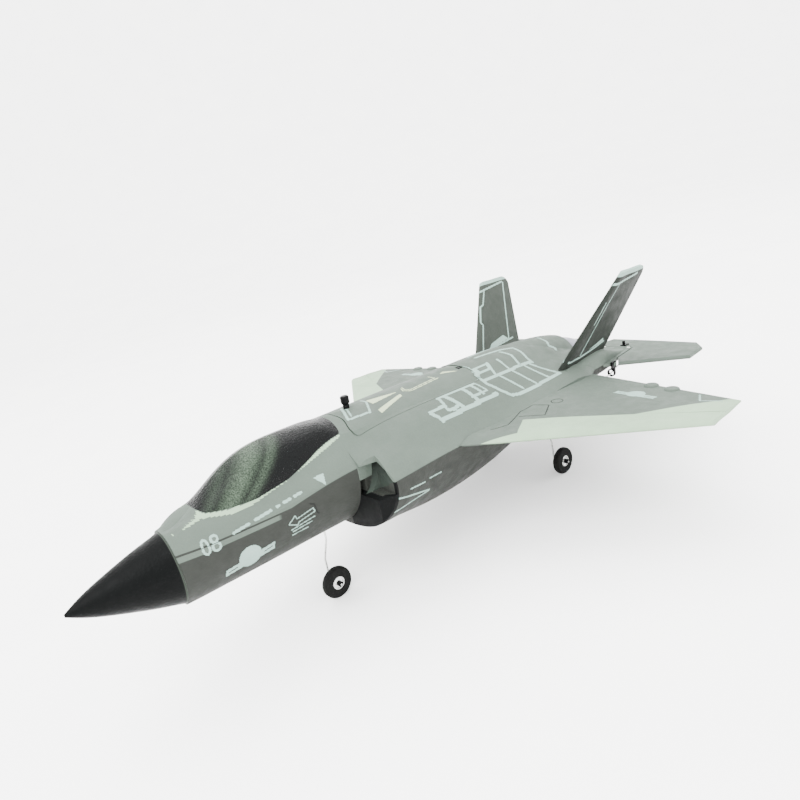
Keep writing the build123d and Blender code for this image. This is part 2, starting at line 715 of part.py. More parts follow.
def hinge_wire():
    """Steel wire that the port elevator turns on."""
    start = elevator_inner_x + 1.0
    return rod_along("X", (start, hinge_y, 0), TAILPLANE[-1][0] - 1.0 - start, hinge_wire_radius)


# ---- Elevator drive ----------------------------------------------------------------
def horn():
    """Port elevator horn: stub and plate above, shank through the foam, arm below."""
    half = horn_thickness / 2
    skin = tail_thickness / 2
    base_y = hinge_y + 4.2
    plate = box_between((horn_x - 2.2, base_y - 2.8, skin), (horn_x + 2.2, base_y + 2.8, skin + 0.8))
    stub = Pos(horn_x, base_y - 1.2, skin + 0.8) * Cylinder(
        1.1, horn_stub_height - 0.8, align=(Align.CENTER, Align.CENTER, Align.MIN))
    shank = box_between((horn_x - half, base_y - 1.8, -skin), (horn_x + half, base_y + 1.8, skin))
    foot = box_between((horn_x - 2.2, base_y - 2.8, -skin - 0.7), (horn_x + 2.2, base_y + 2.8, -skin))
    tip = -arm_length - horn_slot_length - 1.5
    arm = prism_across([(base_y - 2.6, -skin), (base_y + 2.6, -skin), (hinge_y + 1.9, tip),
                        (hinge_y - 1.7, tip), (hinge_y - 1.7, tip + 3.0)],
                       horn_x - half, horn_x + half)
    hole_radius = rod_radius + rod_hole_gap
    slot = box_between((horn_x - 3.0, hinge_y - hole_radius, -arm_length - horn_slot_length),
                       (horn_x + 3.0, hinge_y + hole_radius, -arm_length))
    for z in (-arm_length, -arm_length - horn_slot_length):
        slot += rod_along("X", (horn_x - 3.0, hinge_y, z), 6.0, hole_radius)
    return plate + stub + shank + foot + arm - slot


def servo_block():
    """Port elevator servo's outer shape: its case with the mounting ears."""
    width, length, height = servo_box
    case = Pos(servo_inner_x + width / 2, servo_y + 2.0, servo_z) * Box(width, length, height)
    ears = Pos(servo_inner_x + width - 4.0, servo_y + 2.0, servo_z) * Box(1.2, length + 6.0, height)
    return case + ears


def slider_slot(gap, end_x):
    """The slot that the port slider moves in, from inside the servo to end_x."""
    half_length = slider_width / 2 + slider_travel + gap
    half_height = slider_thickness / 2 + gap
    inner_x = servo_inner_x + servo_box[0] - slider_depth - gap
    return box_between((inner_x, servo_y - half_length, servo_z - half_height),
                       (end_x, servo_y + half_length, servo_z + half_height))


def servo_case():
    """Port linear servo, open along one side for its slider."""
    return servo_block() - slider_slot(slider_gap, servo_inner_x + servo_box[0] + 1.0)


def rod_servo_end():
    """Where the pushrod's front end stands, just ahead of the slider's clamp."""
    return (rod_x, servo_y - clamp_size[1] / 2 - 0.8, servo_z)


def servo_slider():
    """Port servo's slider: a flat tongue with a clamp round the pushrod at its end."""
    half = [size / 2 for size in clamp_size]
    tongue = box_between(
        (servo_inner_x + servo_box[0] - slider_depth, servo_y - slider_width / 2,
         servo_z - slider_thickness / 2),
        (rod_x, servo_y + slider_width / 2, servo_z + slider_thickness / 2))
    clamp = box_between((rod_x - half[0], servo_y - half[1], servo_z - half[2]),
                        (rod_x + half[0], servo_y + half[1], servo_z + half[2]))
    run = Line(rod_servo_end(), (rod_x, *rod_knee))
    bore = sweep(Plane(origin=run @ 0, z_dir=run % 0) * Circle(rod_radius + clamp_gap), path=run)
    return tongue + clamp - bore


def rod_horn_end():
    """Where the pushrod's rear end stands beside the horn."""
    return (horn_x + horn_thickness / 2 + rod_side_gap + rod_radius, hinge_y, -arm_length)


def pushrod():
    """Bent wire from the servo's slider through the guide, its end turned into the horn."""
    path = [rod_servo_end(), (rod_x, *rod_knee), rod_horn_end()]
    wire = bent_wire(path, rod_bend_radius, rod_radius)
    pin_length = horn_thickness + rod_side_gap + rod_radius + 0.6
    end_x, y, z = rod_horn_end()
    wire += rod_along("X", (end_x - pin_length, y, z), pin_length, rod_radius)
    return wire + Pos(end_x, y, z) * Sphere(rod_radius)


def guide():
    """Port pushrod guide: a strap over the tailplane's leading edge with an eye below."""
    low, high = rod_x - guide_strap_width / 2, rod_x + guide_strap_width / 2
    share = (rod_x - TAILPLANE[1][0]) / (TAILPLANE[2][0] - TAILPLANE[1][0])
    lead_y = on_line(TAILPLANE[1], TAILPLANE[2], share)[1]
    skin = tail_thickness / 2
    strap = box_between((low, lead_y - 1.8, -skin - 1.0), (high, lead_y + 3.4, skin + 0.9))
    knee = (rod_x, *rod_knee)
    along = (guide_y - rod_knee[0]) / (hinge_y - rod_knee[0])
    eye_x, _, eye_z = on_line(knee, rod_horn_end(), along)
    ring_y = guide_y - guide_eye_length / 2
    outer = guide_eye_radius + guide_eye_wall
    ring = rod_along("Y", (eye_x, ring_y, eye_z), guide_eye_length, outer)
    web = box_between((low, ring_y, eye_z), (high, ring_y + guide_eye_length, -skin))
    eye = rod_along("Y", (eye_x, ring_y - 9.0, eye_z), guide_eye_length + 18.0, guide_eye_radius)
    return strap + ring + web - eye - tailplane()


# ---- Ducted fan and nozzle ---------------------------------------------------------
def fan_duct():
    """Duct, motor sleeve and stator vanes in one moulding."""
    rear_y = duct_front_y + duct_length
    outer = fan_bore_radius + duct_wall
    shell = turned_about_fan_axis([(fan_bore_radius, duct_front_y), (outer, duct_front_y),
                                   (outer, rear_y), (fan_bore_radius, rear_y)])
    sleeve_outer = motor_radius + motor_sleeve_wall
    sleeve_front = motor_front() + 1.0
    sleeve_rear = rear_y - 2.0
    sleeve = turned_about_fan_axis([(motor_radius, sleeve_front), (sleeve_outer, sleeve_front),
                                    (sleeve_outer, sleeve_rear), (motor_radius, sleeve_rear)])
    duct = shell + sleeve
    for i in range(stator_vanes):
        span = fan_bore_radius + duct_wall / 2 - motor_radius - motor_sleeve_wall / 2
        centre = motor_radius + motor_sleeve_wall / 2 + span / 2
        vane = Pos(0, rear_y - 8.0, centre) * Box(stator_vane_thickness, 9.0, span)
        duct += Pos(0, 0, fan_axis_z) * Rot(0, 360.0 * i / stator_vanes + 36.0, 0) * vane
    return duct


def motor_front():
    """Station of the motor can's front face."""
    return rotor_front_y + rotor_length + motor_gap


def fan_motor():
    """Motor can with a bore for the fan shaft."""
    can = rod_along("Y", (0, motor_front(), fan_axis_z), motor_length, motor_radius)
    return can - rod_along("Y", (0, motor_front() - 1.0, fan_axis_z), 9.0,
                           fan_shaft_radius + fan_shaft_gap)


def fan_shaft():
    """Steel shaft from the rotor into the motor."""
    return rod_along("Y", (0, rotor_front_y + 1.0, fan_axis_z),
                     rotor_length - 1.0 + motor_gap + 7.0, fan_shaft_radius)


def fan_rotor():
    """Rotor hub with pitched blades and a bore for the shaft."""
    rotor = rod_along("Y", (0, rotor_front_y, fan_axis_z), rotor_length, rotor_hub_radius)
    tip = fan_bore_radius - rotor_tip_gap
    mid_y = rotor_front_y + rotor_length / 2
    for i in range(rotor_blades):
        blade = Pos(0, 0, tip / 2 + 1.0) * Rot(0, 0, rotor_blade_pitch) * Box(
            rotor_blade_thickness, rotor_blade_chord, tip)
        rotor += Pos(0, mid_y, fan_axis_z) * Rot(0, 360.0 * i / rotor_blades, 0) * blade
    rotor &= rod_along("Y", (0, rotor_front_y, fan_axis_z), rotor_length, tip)
    return rotor - fan_shaft()


def fan_spinner():
    """Rounded spinner in front of the rotor hub."""
    cap = Pos(0, rotor_front_y, fan_axis_z) * scale(
        Sphere(1.0), by=(rotor_hub_radius, spinner_length, rotor_hub_radius))
    return cap & box_between((-20, rotor_front_y - 20, -20), (20, rotor_front_y, 25))


def nozzle():
    """Converging nozzle with slits between its petals at the exit."""
    outer = [(r, y) for r, y in nozzle_profile]
    inner = [(tail_pipe_radius, nozzle_front_y)]
    inner += [(min(tail_pipe_radius, r - nozzle_wall), y) for r, y in nozzle_profile[1:]]
    shell = turned_about_fan_axis(outer + inner[::-1])
    width, length = nozzle_slit
    for i in range(nozzle_petals):
        slit = Pos(0, nozzle_rear_y - length / 2 + 1.0, 12.0) * Box(width, length + 2.0, 12.0)
        shell -= Pos(0, 0, fan_axis_z) * Rot(0, 360.0 * (i + 0.5) / nozzle_petals, 0) * slit
    return shell


# ---- Landing gear ------------------------------------------------------------------
def tyre(middle):
    """Foam-rubber tyre with rounded shoulders."""
    ring = Cylinder(wheel_radius, wheel_width) - Cylinder(hub_radius, wheel_width + 1)
    rims = ring.edges().filter_by(GeomType.CIRCLE)
    ring = fillet([e for e in rims if e.radius > hub_radius + 0.1], tyre_corner)
    rims = ring.edges().filter_by(GeomType.CIRCLE)
    ring = chamfer([e for e in rims if e.radius < hub_radius + 0.1], 0.4)
    return Pos(*middle) * Rot(0, 90, 0) * ring


def wheel_hub(middle):
    """Dished bright hub with a bore that turns on the axle."""
    x, y, z = middle
    half = hub_width / 2
    core = 2.0
    profile = [(axle_radius + axle_gap, -half - 0.2), (core, -half - 0.2), (core, -half + 0.9),
               (hub_radius - 0.7, -half + 0.9), (hub_radius - 0.5, -half), (hub_radius, -half),
               (hub_radius, half), (hub_radius - 0.5, half), (hub_radius - 0.7, half - 0.9),
               (core, half - 0.9), (core, half + 0.2), (axle_radius + axle_gap, half + 0.2)]
    face = make_face(Polyline(*[(x + across, y, z + r) for r, across in profile], close=True))
    return revolve(face, axis=Axis(middle, (1, 0, 0)))


def collars(middle):
    """A collar on the axle each side of a wheel."""
    x, y, z = middle
    inner = hub_width / 2 + 0.2 + collar_gap
    made = []
    for side in (-1, 1):
        start = x + inner if side > 0 else x - inner - collar_width
        ring = rod_along("X", (start, y, z), collar_width, collar_radius)
        made.append(ring - rod_along("X", (start - 1, y, z), collar_width + 2, axle_radius))
    return made


def gear_leg(middle, socket):
    """Wire leg: axle through the wheel, up beside it, then slanting to its socket."""
    x, y, z = middle
    sx, sy, sz = socket
    end = hub_width / 2 + 0.2 + collar_gap + collar_width + 0.6
    leg_x = x - leg_offset
    path = [(x + end, y, z), (leg_x, y, z), (leg_x, y, z + knee_rise),
            (sx, sy, sz - leg_straight), (sx, sy, sz + leg_seat)]
    return bent_wire(path, gear_bend_radius, axle_radius)


def gear_socket(socket):
    """Plastic block that holds the top of a leg."""
    sx, sy, sz = socket
    block = Pos(sx, sy, sz + socket_size[2] / 2) * Box(*socket_size)
    return block - rod_along("Z", (sx, sy, sz - 1.0), leg_seat + 1.0, axle_radius)


def leg_passage(socket):
    """Hole in the foam below a socket, for its leg."""
    sx, sy, sz = socket
    return rod_along("Z", (sx, sy, sz - 14.0), 14.0 + leg_seat, axle_radius)


# ---- Electronics -------------------------------------------------------------------
def battery():
    """Two-cell pack with soft edges."""
    width, length, height = battery_size
    pack = Pos(0, battery_y, bay_floor_z + tray_thickness + height / 2) * Box(width, length, height)
    return fillet(pack.edges(), cell_edge)


def battery_tray():
    """Plywood tray glued to the bay's floor."""
    front = battery_y - battery_size[1] / 2 - 1.0
    rear = battery_y + battery_size[1] / 2 + 1.0
    return box_between((-bay_half_width, front, bay_floor_z),
                       (bay_half_width, rear, bay_floor_z + tray_thickness))


def battery_strap():
    """Hook-and-loop band over the battery, its feet on the tray."""
    low_z = bay_floor_z + tray_thickness
    half = battery_size[0] / 2
    top = low_z + battery_size[2]
    outer = box_between((-half - strap_thickness, battery_y - strap_width / 2, low_z),
                        (half + strap_thickness, battery_y + strap_width / 2, top + strap_thickness))
    return outer - box_between((-half, 0, low_z - 1), (half, 400, top))


def battery_connector():
    """Plug on the battery's rear end."""
    width, length, height = connector_size
    front = battery_y + battery_size[1] / 2
    low_z = bay_floor_z + tray_thickness + 2.0
    shell = box_between((-width / 2, front, low_z), (width / 2, front + length, low_z + height))
    for side in (-1, 1):
        shell -= rod_along("Y", (side * width / 4, front + length - 4.0, low_z + height / 2), 5.0, 1.2)
    return shell


def receiver():
    """Receiver board with its chips, flat on the bay's floor."""
    width, length, height = receiver_size
    board = box_between((-width / 2, receiver_y - length / 2, bay_floor_z),
                        (width / 2, receiver_y + length / 2, bay_floor_z + height))
    chip = Pos(-4.0, receiver_y, bay_floor_z + height + 0.6) * Box(6.0, 6.0, 1.2)
    header = Pos(6.5, receiver_y, bay_floor_z + height + 2.0) * Box(5.0, 14.0, 4.0)
    return board + chip + header


def speed_controller():
    """Speed controller on the bay's side wall, in its shrink sleeve."""
    width, length, height = esc_size
    block = Pos(bay_half_width - height / 2, receiver_y, -4.0) * Box(height, length, width)
    return fillet(block.edges().filter_by(Axis.Y), 0.8)


# ---- Fuselage mouldings ------------------------------------------------------------
def fuselage_spaces():
    """Every hollow in the foam: bay, tunnel, inlet, sockets, slots and bores."""
    bay = box_between((-bay_half_width, bay_front_y, bay_floor_z),
                      (bay_half_width, bay_rear_y, hatch_floor_z + 1.0))
    duct_outer = fan_bore_radius + duct_wall
    rear_y = duct_front_y + duct_length
    tunnel = rod_along("Y", (0, duct_front_y, fan_axis_z), duct_length, duct_outer)
    plenum = rod_along("Y", (0, duct_front_y - 12.0, fan_axis_z), 12.0, fan_bore_radius)
    pipe = turned_about_fan_axis([(0, rear_y), (fan_bore_radius, rear_y),
                                  (tail_pipe_radius, nozzle_front_y), (0, nozzle_front_y)])
    inlet = prism_across(INLET_SIDE, -inlet_half_width, inlet_half_width)
    nose_bore = rod_along("Y", (0, nose_base_y, nose_base_z), nose_spigot_length, nose_spigot_radius)
    spaces = [bay, tunnel, plenum, pipe, inlet, nose_bore, wing_spar()]
    for place in (nose_socket, main_socket):
        sx, sy, sz = place
        block = Pos(sx, sy, sz + socket_size[2] / 2) * Box(*socket_size)
        spaces += [block, leg_passage(place)]
    spaces += [mirrored(space) for space in spaces[-2:]]
    rim_magnet = magnet(hatch_floor_z - magnet_thickness)
    for tool in (servo_block(), slider_slot(slider_gap, rod_x + 10.0), rim_magnet, fin_solid(),
                 tailplane(), hinge_ear(), ramp_space(), lip_space()):
        spaces += both_sides(tool)
    for x in hinge_lug_places:
        spaces += both_sides(hinge_lug(x))
    return spaces


def main():
    """Builds and writes every node."""
    os.makedirs("parts", exist_ok=True)
    outer = mould_line()

    knife = canopy_knife()
    write("canopy", outer & knife)

    tab = hinge_tab()
    lid_space = hatch_space(hatch_front_gap, hatch_side_gap, hatch_floor_gap, hatch_round_radius)
    lid = outer & lid_space
    for tool in (hinge_leaf(-hinge_tab_half_width, hinge_tab_half_width, -1, hinge_knuckle_radius),
                 knob(), *both_sides(hinge_ear_pocket()),
                 *both_sides(magnet(hatch_floor_z + hatch_floor_gap))):
        lid -= tool
    write("hatch", lid)
    write("hatch_hinge_tab", tab)
    write("hatch_hinge_ears", *[ear - hinge_pin() for ear in both_sides(hinge_ear())])
    write("hatch_hinge_pin", hinge_pin())
    write("hatch_knob", knob())
    write("hatch_magnets", *both_sides(magnet(hatch_floor_z + hatch_floor_gap)))
    write("rim_magnets", *both_sides(magnet(hatch_floor_z - magnet_thickness)))

    shell = outer - knife - hatch_space(0, 0, 0, hatch_round_radius + hatch_round_gap)
    for space in fuselage_spaces():
        shell -= space
    above = box_between((-200, -50, split_z), (200, 500, 200))
    below = box_between((-200, -50, -200), (200, 500, split_z))
    write("fuselage_upper", shell & above)
    write("fuselage_lower", shell & below)

    write("nose_cone", nose_cone())
    write_pair("intake_ramp", (outer & ramp_space()) - ramp_front())
    write_pair("intake_lip", (outer & lip_space()) - ramp_front())

    write_pair("wing", wing_panel())
    write("wing_spar", wing_spar())
    write_pair("fin", fin_solid())
    write_pair("tailplane", tailplane())
    write_pair("elevator", elevator())
    write("elevator_hinge_wires", *both_sides(hinge_wire()))
    write("elevator_hinge_lugs", *[lug for x in hinge_lug_places for lug in both_sides(hinge_lug(x))])

    write_pair("elevator_horn", horn())
    write_pair("elevator_servo", servo_case())
    write_pair("servo_slider", servo_slider())
    write_pair("pushrod", pushrod())
    write_pair("pushrod_guide", guide())

    write("fan_duct", fan_duct())
    write("fan_motor", fan_motor())
    write("fan_shaft", fan_shaft())
    write("fan_rotor", fan_rotor())
    write("fan_spinner", fan_spinner())
    write("nozzle", nozzle())

    write("nose_gear_leg", gear_leg(nose_wheel, nose_socket))
    write("nose_tyre", tyre(nose_wheel))
    write("nose_hub", wheel_hub(nose_wheel))
    write_pair("main_gear_leg", gear_leg(main_wheel, main_socket))
    write("gear_sockets", gear_socket(nose_socket), *both_sides(gear_socket(main_socket)))
    write_pair("main_tyre", tyre(main_wheel))
    write_pair("main_hub", wheel_hub(main_wheel))
    main_collars = collars(main_wheel)
    write("axle_collars", *collars(nose_wheel), *main_collars,
          *[mirrored(c) for c in main_collars])

    write("battery", battery())
    write("battery_tray", battery_tray())
    write("battery_strap", battery_strap())
    write("battery_connector", battery_connector())
    write("receiver", receiver())
    write("speed_controller", speed_controller())


ORIGIN = row_origin()
main()
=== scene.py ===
"""Looks of a small foam ducted-fan jet: paint, markings, canopy gloss, floor, light and camera.

Lengths typed in millimetres use the airframe's own axes: X to port, Y aft from the nose tip,
Z up from the wing plane. The function mm() turns them into the row frame's metres, where the
model stands nose-up on its three wheels.
"""
import math

import bpy
from mathutils import Matrix, Vector
from mathutils.bvhtree import BVHTree


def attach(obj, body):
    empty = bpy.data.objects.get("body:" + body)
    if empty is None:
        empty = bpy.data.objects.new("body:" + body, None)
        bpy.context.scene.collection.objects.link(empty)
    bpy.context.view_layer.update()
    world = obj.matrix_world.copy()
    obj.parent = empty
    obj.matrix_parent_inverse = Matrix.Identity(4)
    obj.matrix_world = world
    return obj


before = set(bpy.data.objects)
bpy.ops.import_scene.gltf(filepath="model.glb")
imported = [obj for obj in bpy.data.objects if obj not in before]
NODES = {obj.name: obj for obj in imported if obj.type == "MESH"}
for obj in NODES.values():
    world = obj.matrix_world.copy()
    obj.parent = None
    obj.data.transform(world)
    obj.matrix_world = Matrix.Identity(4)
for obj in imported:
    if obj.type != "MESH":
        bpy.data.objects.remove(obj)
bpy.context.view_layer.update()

# ---- Frame -------------------------------------------------------------------------
PITCH = math.atan2(12.3, 176.4)      # nose-up stance on the three wheels
ORIGIN_Y = 214.484                   # the row frame's origin in the pitched airframe, mm
ORIGIN_Z = -85.308
SIDES = {"left": 1, "right": -1}
FIN_CANT = math.radians(23.8)        # outward from upright
FIN_ROOT_X = 38.6
FIN_ROOT_Z = 10.0


def facing(x, y, z):
    """An airframe direction in the row frame."""
    return Vector((x, y * math.cos(PITCH) + z * math.sin(PITCH),
                   z * math.cos(PITCH) - y * math.sin(PITCH)))


def mm(x, y, z):
    """A point in airframe millimetres, as row-frame metres."""
    return (facing(x, y, z) - Vector((0, ORIGIN_Y, ORIGIN_Z))) / 1000.0


def rgb(red, green, blue):
    """A colour given as 0-255 display values, in linear light."""
    values = []
    for part in (red, green, blue):
        part /= 255.0
        values.append(part / 12.92 if part < 0.04045 else ((part + 0.055) / 1.055) ** 2.4)
    return (*values, 1.0)


# ---- Camera ------------------------------------------------------------------------
CAMERA_PLACE = (276.9, -12.3, 122.5)
CAMERA_AZIMUTH = math.radians(52.13)
CAMERA_ELEVATION = math.radians(15.95)
CAMERA_ROLL = math.radians(-11.21)
CAMERA_LENS = 26.42


def add_camera():
    """The scene camera, at the photograph's viewing angle."""
    data = bpy.data.cameras.new("camera")
    data.lens = CAMERA_LENS
    data.sensor_width = 36.0
    data.clip_start = 0.01
    camera = bpy.data.objects.new("camera", data)
    bpy.context.scene.collection.objects.link(camera)
    back = Vector((math.sin(CAMERA_AZIMUTH) * math.cos(CAMERA_ELEVATION),
                   -math.cos(CAMERA_AZIMUTH) * math.cos(CAMERA_ELEVATION),
                   math.sin(CAMERA_ELEVATION)))
    right = Vector((0, 0, 1)).cross(back).normalized()
    up = back.cross(right)
    rolled_right = math.cos(CAMERA_ROLL) * right + math.sin(CAMERA_ROLL) * up
    rolled_up = math.cos(CAMERA_ROLL) * up - math.sin(CAMERA_ROLL) * right
    axes = [facing(*axis) for axis in (rolled_right, rolled_up, back)]
    turn = Matrix(axes).transposed().to_4x4()
    camera.matrix_world = Matrix.Translation(mm(*CAMERA_PLACE)) @ turn
    bpy.context.scene.camera = camera


add_camera()


# ---- Shader building ---------------------------------------------------------------
class Shader:
    """A Principled material with short calls for the nodes that feed it."""

    def __init__(self, name, roughness=0.6, metallic=0.0, specular=0.5):
        self.material = bpy.data.materials.new(name)
        self.material.use_nodes = True
        self.tree = self.material.node_tree
        self.surface = self.tree.nodes["Principled BSDF"]
        self.surface.inputs["Roughness"].default_value = roughness
        self.surface.inputs["Metallic"].default_value = metallic
        self.surface.inputs["Specular IOR Level"].default_value = specular
        self.where = self.tree.nodes.new("ShaderNodeTexCoord").outputs["Object"]

    def plug(self, socket, value):
        """Links a socket to another, or stores a constant in it."""
        if isinstance(value, bpy.types.NodeSocket):
            self.tree.links.new(value, socket)
        else:
            socket.default_value = value

    def math(self, operation, first, second=0.0, third=0.0, clamp=False):
        node = self.tree.nodes.new("ShaderNodeMath")
        node.operation = operation
        node.use_clamp = clamp
        self.plug(node.inputs[0], first)
        self.plug(node.inputs[1], second)
        self.plug(node.inputs[2], third)
        return node.outputs[0]

    def noise(self, scale, detail=2.0, roughness=0.5, stretch=None):
        node = self.tree.nodes.new("ShaderNodeTexNoise")
        node.inputs["Scale"].default_value = scale
        node.inputs["Detail"].default_value = detail
        node.inputs["Roughness"].default_value = roughness
        self.tree.links.new(self.stretched(stretch), node.inputs["Vector"])
        return node.outputs["Fac"]

    def cells(self, scale):
        """Distance to the nearest of many scattered points."""
        node = self.tree.nodes.new("ShaderNodeTexVoronoi")
        node.inputs["Scale"].default_value = scale
        self.tree.links.new(self.where, node.inputs["Vector"])
        return node.outputs["Distance"]

    def stretched(self, stretch):
        """Object coordinates, scaled unevenly when stretch is given."""
        if stretch is None:
            return self.where
        node = self.tree.nodes.new("ShaderNodeVectorMath")
        node.operation = "MULTIPLY"
        self.tree.links.new(self.where, node.inputs[0])
        node.inputs[1].default_value = stretch
        return node.outputs[0]

    def reach(self, point, normal):
        """How far past the plane through point that faces normal, in mm."""
        direction = facing(*normal).normalized()
        node = self.tree.nodes.new("ShaderNodeVectorMath")
        node.operation = "DOT_PRODUCT"
        self.tree.links.new(self.where, node.inputs[0])
        node.inputs[1].default_value = direction
        past = self.math("SUBTRACT", node.outputs["Value"], mm(*point).dot(direction))
        return self.math("MULTIPLY", past, 1000.0)

    def beyond(self, point, normal, soft=0.15):
        """1 past the plane through point that faces normal, 0 before it."""
        return self.math("MULTIPLY_ADD", self.reach(point, normal), 1.0 / soft, 0.5, clamp=True)

    def all_of(self, *masks):
        mask = masks[0]
        for other in masks[1:]:
            mask = self.math("MULTIPLY", mask, other)
        return mask

    def any_of(self, *masks):
        mask = masks[0]
        for other in masks[1:]:
            mask = self.math("MAXIMUM", mask, other)
        return mask

    def spread(self, value, low, high, to_low=0.0, to_high=1.0):
        node = self.tree.nodes.new("ShaderNodeMapRange")
        self.plug(node.inputs["Value"], value)
        node.inputs["From Min"].default_value = low
        node.inputs["From Max"].default_value = high
        node.inputs["To Min"].default_value = to_low
        node.inputs["To Max"].default_value = to_high
        return node.outputs["Result"]

    def mix(self, share, first, second):
        node = self.tree.nodes.new("ShaderNodeMix")
        node.data_type = "RGBA"
        self.plug(node.inputs["Factor"], share)
        self.plug(node.inputs[6], first)
        self.plug(node.inputs[7], second)
        return node.outputs[2]

    def toned(self, colour, tone):
        """A colour made lighter or darker by a changing tone."""
        node = self.tree.nodes.new("ShaderNodeVectorMath")
        node.operation = "SCALE"
        is_socket = isinstance(colour, bpy.types.NodeSocket)
        self.plug(node.inputs[0], colour if is_socket else colour[:3])
        self.plug(node.inputs["Scale"], tone)
        return node.outputs[0]

    def bump(self, height, strength, distance, under=None):
        node = self.tree.nodes.new("ShaderNodeBump")
        node.inputs["Strength"].default_value = strength
        node.inputs["Distance"].default_value = distance
        self.tree.links.new(height, node.inputs["Height"])
        if under is not None:
            self.tree.links.new(under, node.inputs["Normal"])
        return node.outputs["Normal"]

    def finish(self, colour=None, roughness=None, normal=None):
        if colour is not None:
            self.plug(self.surface.inputs["Base Color"], colour)
        if roughness is not None:
            self.plug(self.surface.inputs["Roughness"], roughness)
        if normal is not None:
            self.plug(self.surface.inputs["Normal"], normal)
        return self.material


def paint_nodes(material, *names):
    """Gives CAD nodes one material."""
    for name in names:
        slots = NODES[name].data.materials
        slots.clear()
        slots.append(material)


# ---- Paint colours -----------------------------------------------------------------
GREY_TOP = rgb(68, 77, 70)
GREY_LOWER = rgb(31, 33, 30)
# The fins share one paint, given in two copies: a darker grey as painted shade on the near fin and a lighter
# grey as painted light on the far fin.
GREY_FIN_SHADED = rgb(24, 28, 24)
GREY_FIN_LIT = rgb(43, 48, 43)
PALE_GREEN = rgb(122, 143, 119)
MARKING = rgb(118, 140, 132)
CREAM = rgb(150, 162, 132)
LINE_DARK = rgb(16, 18, 16)


def foam_shader(name, colour, layers=(), roughness=0.6, grain=1.0):
    """Painted foam: bead dimples, fine grain, faint mottling; layers are (colour, mask maker)."""
    shader = Shader(name, roughness=roughness, specular=0.12)
    paint = colour
    for layer_colour, make_mask in layers:
        paint = shader.mix(make_mask(shader), paint, layer_colour)
    mottling = shader.noise(38.0, detail=4.0, roughness=0.6)
    speckle = shader.noise(1900.0, detail=2.0)
    grime = shader.spread(shader.noise(95.0, detail=5.0, roughness=0.7, stretch=(1.0, 0.35, 1.0)),
                          0.35, 0.75, 1.02, 0.93)
    tone = shader.math("ADD", shader.spread(mottling, 0.3, 0.7, 0.94, 1.05),
                       shader.spread(speckle, 0.25, 0.75, -0.05, 0.05))
    tone = shader.math("MULTIPLY", tone, grime)
    beads = shader.spread(shader.cells(620.0), 0.0, 0.75)
    normal = shader.bump(beads, 0.10 * grain, 0.0006)
    normal = shader.bump(speckle, 0.12 * grain, 0.0004, under=normal)
    rough = shader.spread(shader.noise(160.0, detail=3.0), 0.3, 0.7, roughness - 0.08, roughness + 0.1)
    return shader.finish(colour=shader.toned(paint, tone), roughness=rough, normal=normal)


# ---- Masks that split the paint ----------------------------------------------------
def lower_side(shader):
    """Dark paint under the nose's rising edge and under the nacelle's chine."""
    nose = shader.all_of(shader.beyond((0, 97.0, -0.4), (0, 0.187, -1.0), 0.4),
                         shader.beyond((0, 141.8, 0), (0, -1, 0)))
    return shader.any_of(nose, shader.beyond((0, 0, 0.9), (0, 0, -1), 0.3))


def upper_nose(shader):
    """Light paint that reaches just below the parting line on the nose."""
    return shader.all_of(shader.beyond((0, 0, -2.5), (0, 0, 1), 0.4),
                         shader.beyond((0, 97.0, 0), (0, -1, 0), 2.0))


def leading_strip(side):
    """The pale strip ahead of the flap line, on one wing."""
    line = [(61.5, 242.5), (79.5, 253.6), (118.2, 272.5), (157.0, 290.6)]

    def make_mask(shader):
        masks = []
        for (x0, y0), (x1, y1) in zip(line, line[1:]):
            masks.append(shader.beyond((side * x0, y0, 0), (side * (y1 - y0), x0 - x1, 0)))
        masks.append(shader.beyond((side * 61.5, 242.5, 0), (side * 17.0, 10.0, 0)))
        root = [(53.0, 199.0), (72.5, 221.5)]
        (x0, y0), (x1, y1) = root
        strip = shader.beyond((side * x0, y0, 0), (side * (y1 - y0), x0 - x1, 0))
        return shader.any_of(shader.all_of(*masks), strip)

    return make_mask


def dark_underside(low_z):
    """Dark paint below a level, for wing and tail undersides."""
    return lambda shader: shader.beyond((0, 0, low_z), (0, 0, -1), 0.3)


def fin_point(side, y, height, out=0.0):
    """A point on a fin's middle plane, lifted out of it."""
    return (side * (FIN_ROOT_X + height * math.sin(FIN_CANT) + out * math.cos(FIN_CANT)), y,
            FIN_ROOT_Z + height * math.cos(FIN_CANT) - out * math.sin(FIN_CANT))


def fin_cap(side):
    """Pale tip cap of a fin: everything above a level along its own height."""
    upward = (side * math.sin(FIN_CANT), 0, math.cos(FIN_CANT))
    return lambda shader: shader.beyond(fin_point(side, 0, 59.4), upward)


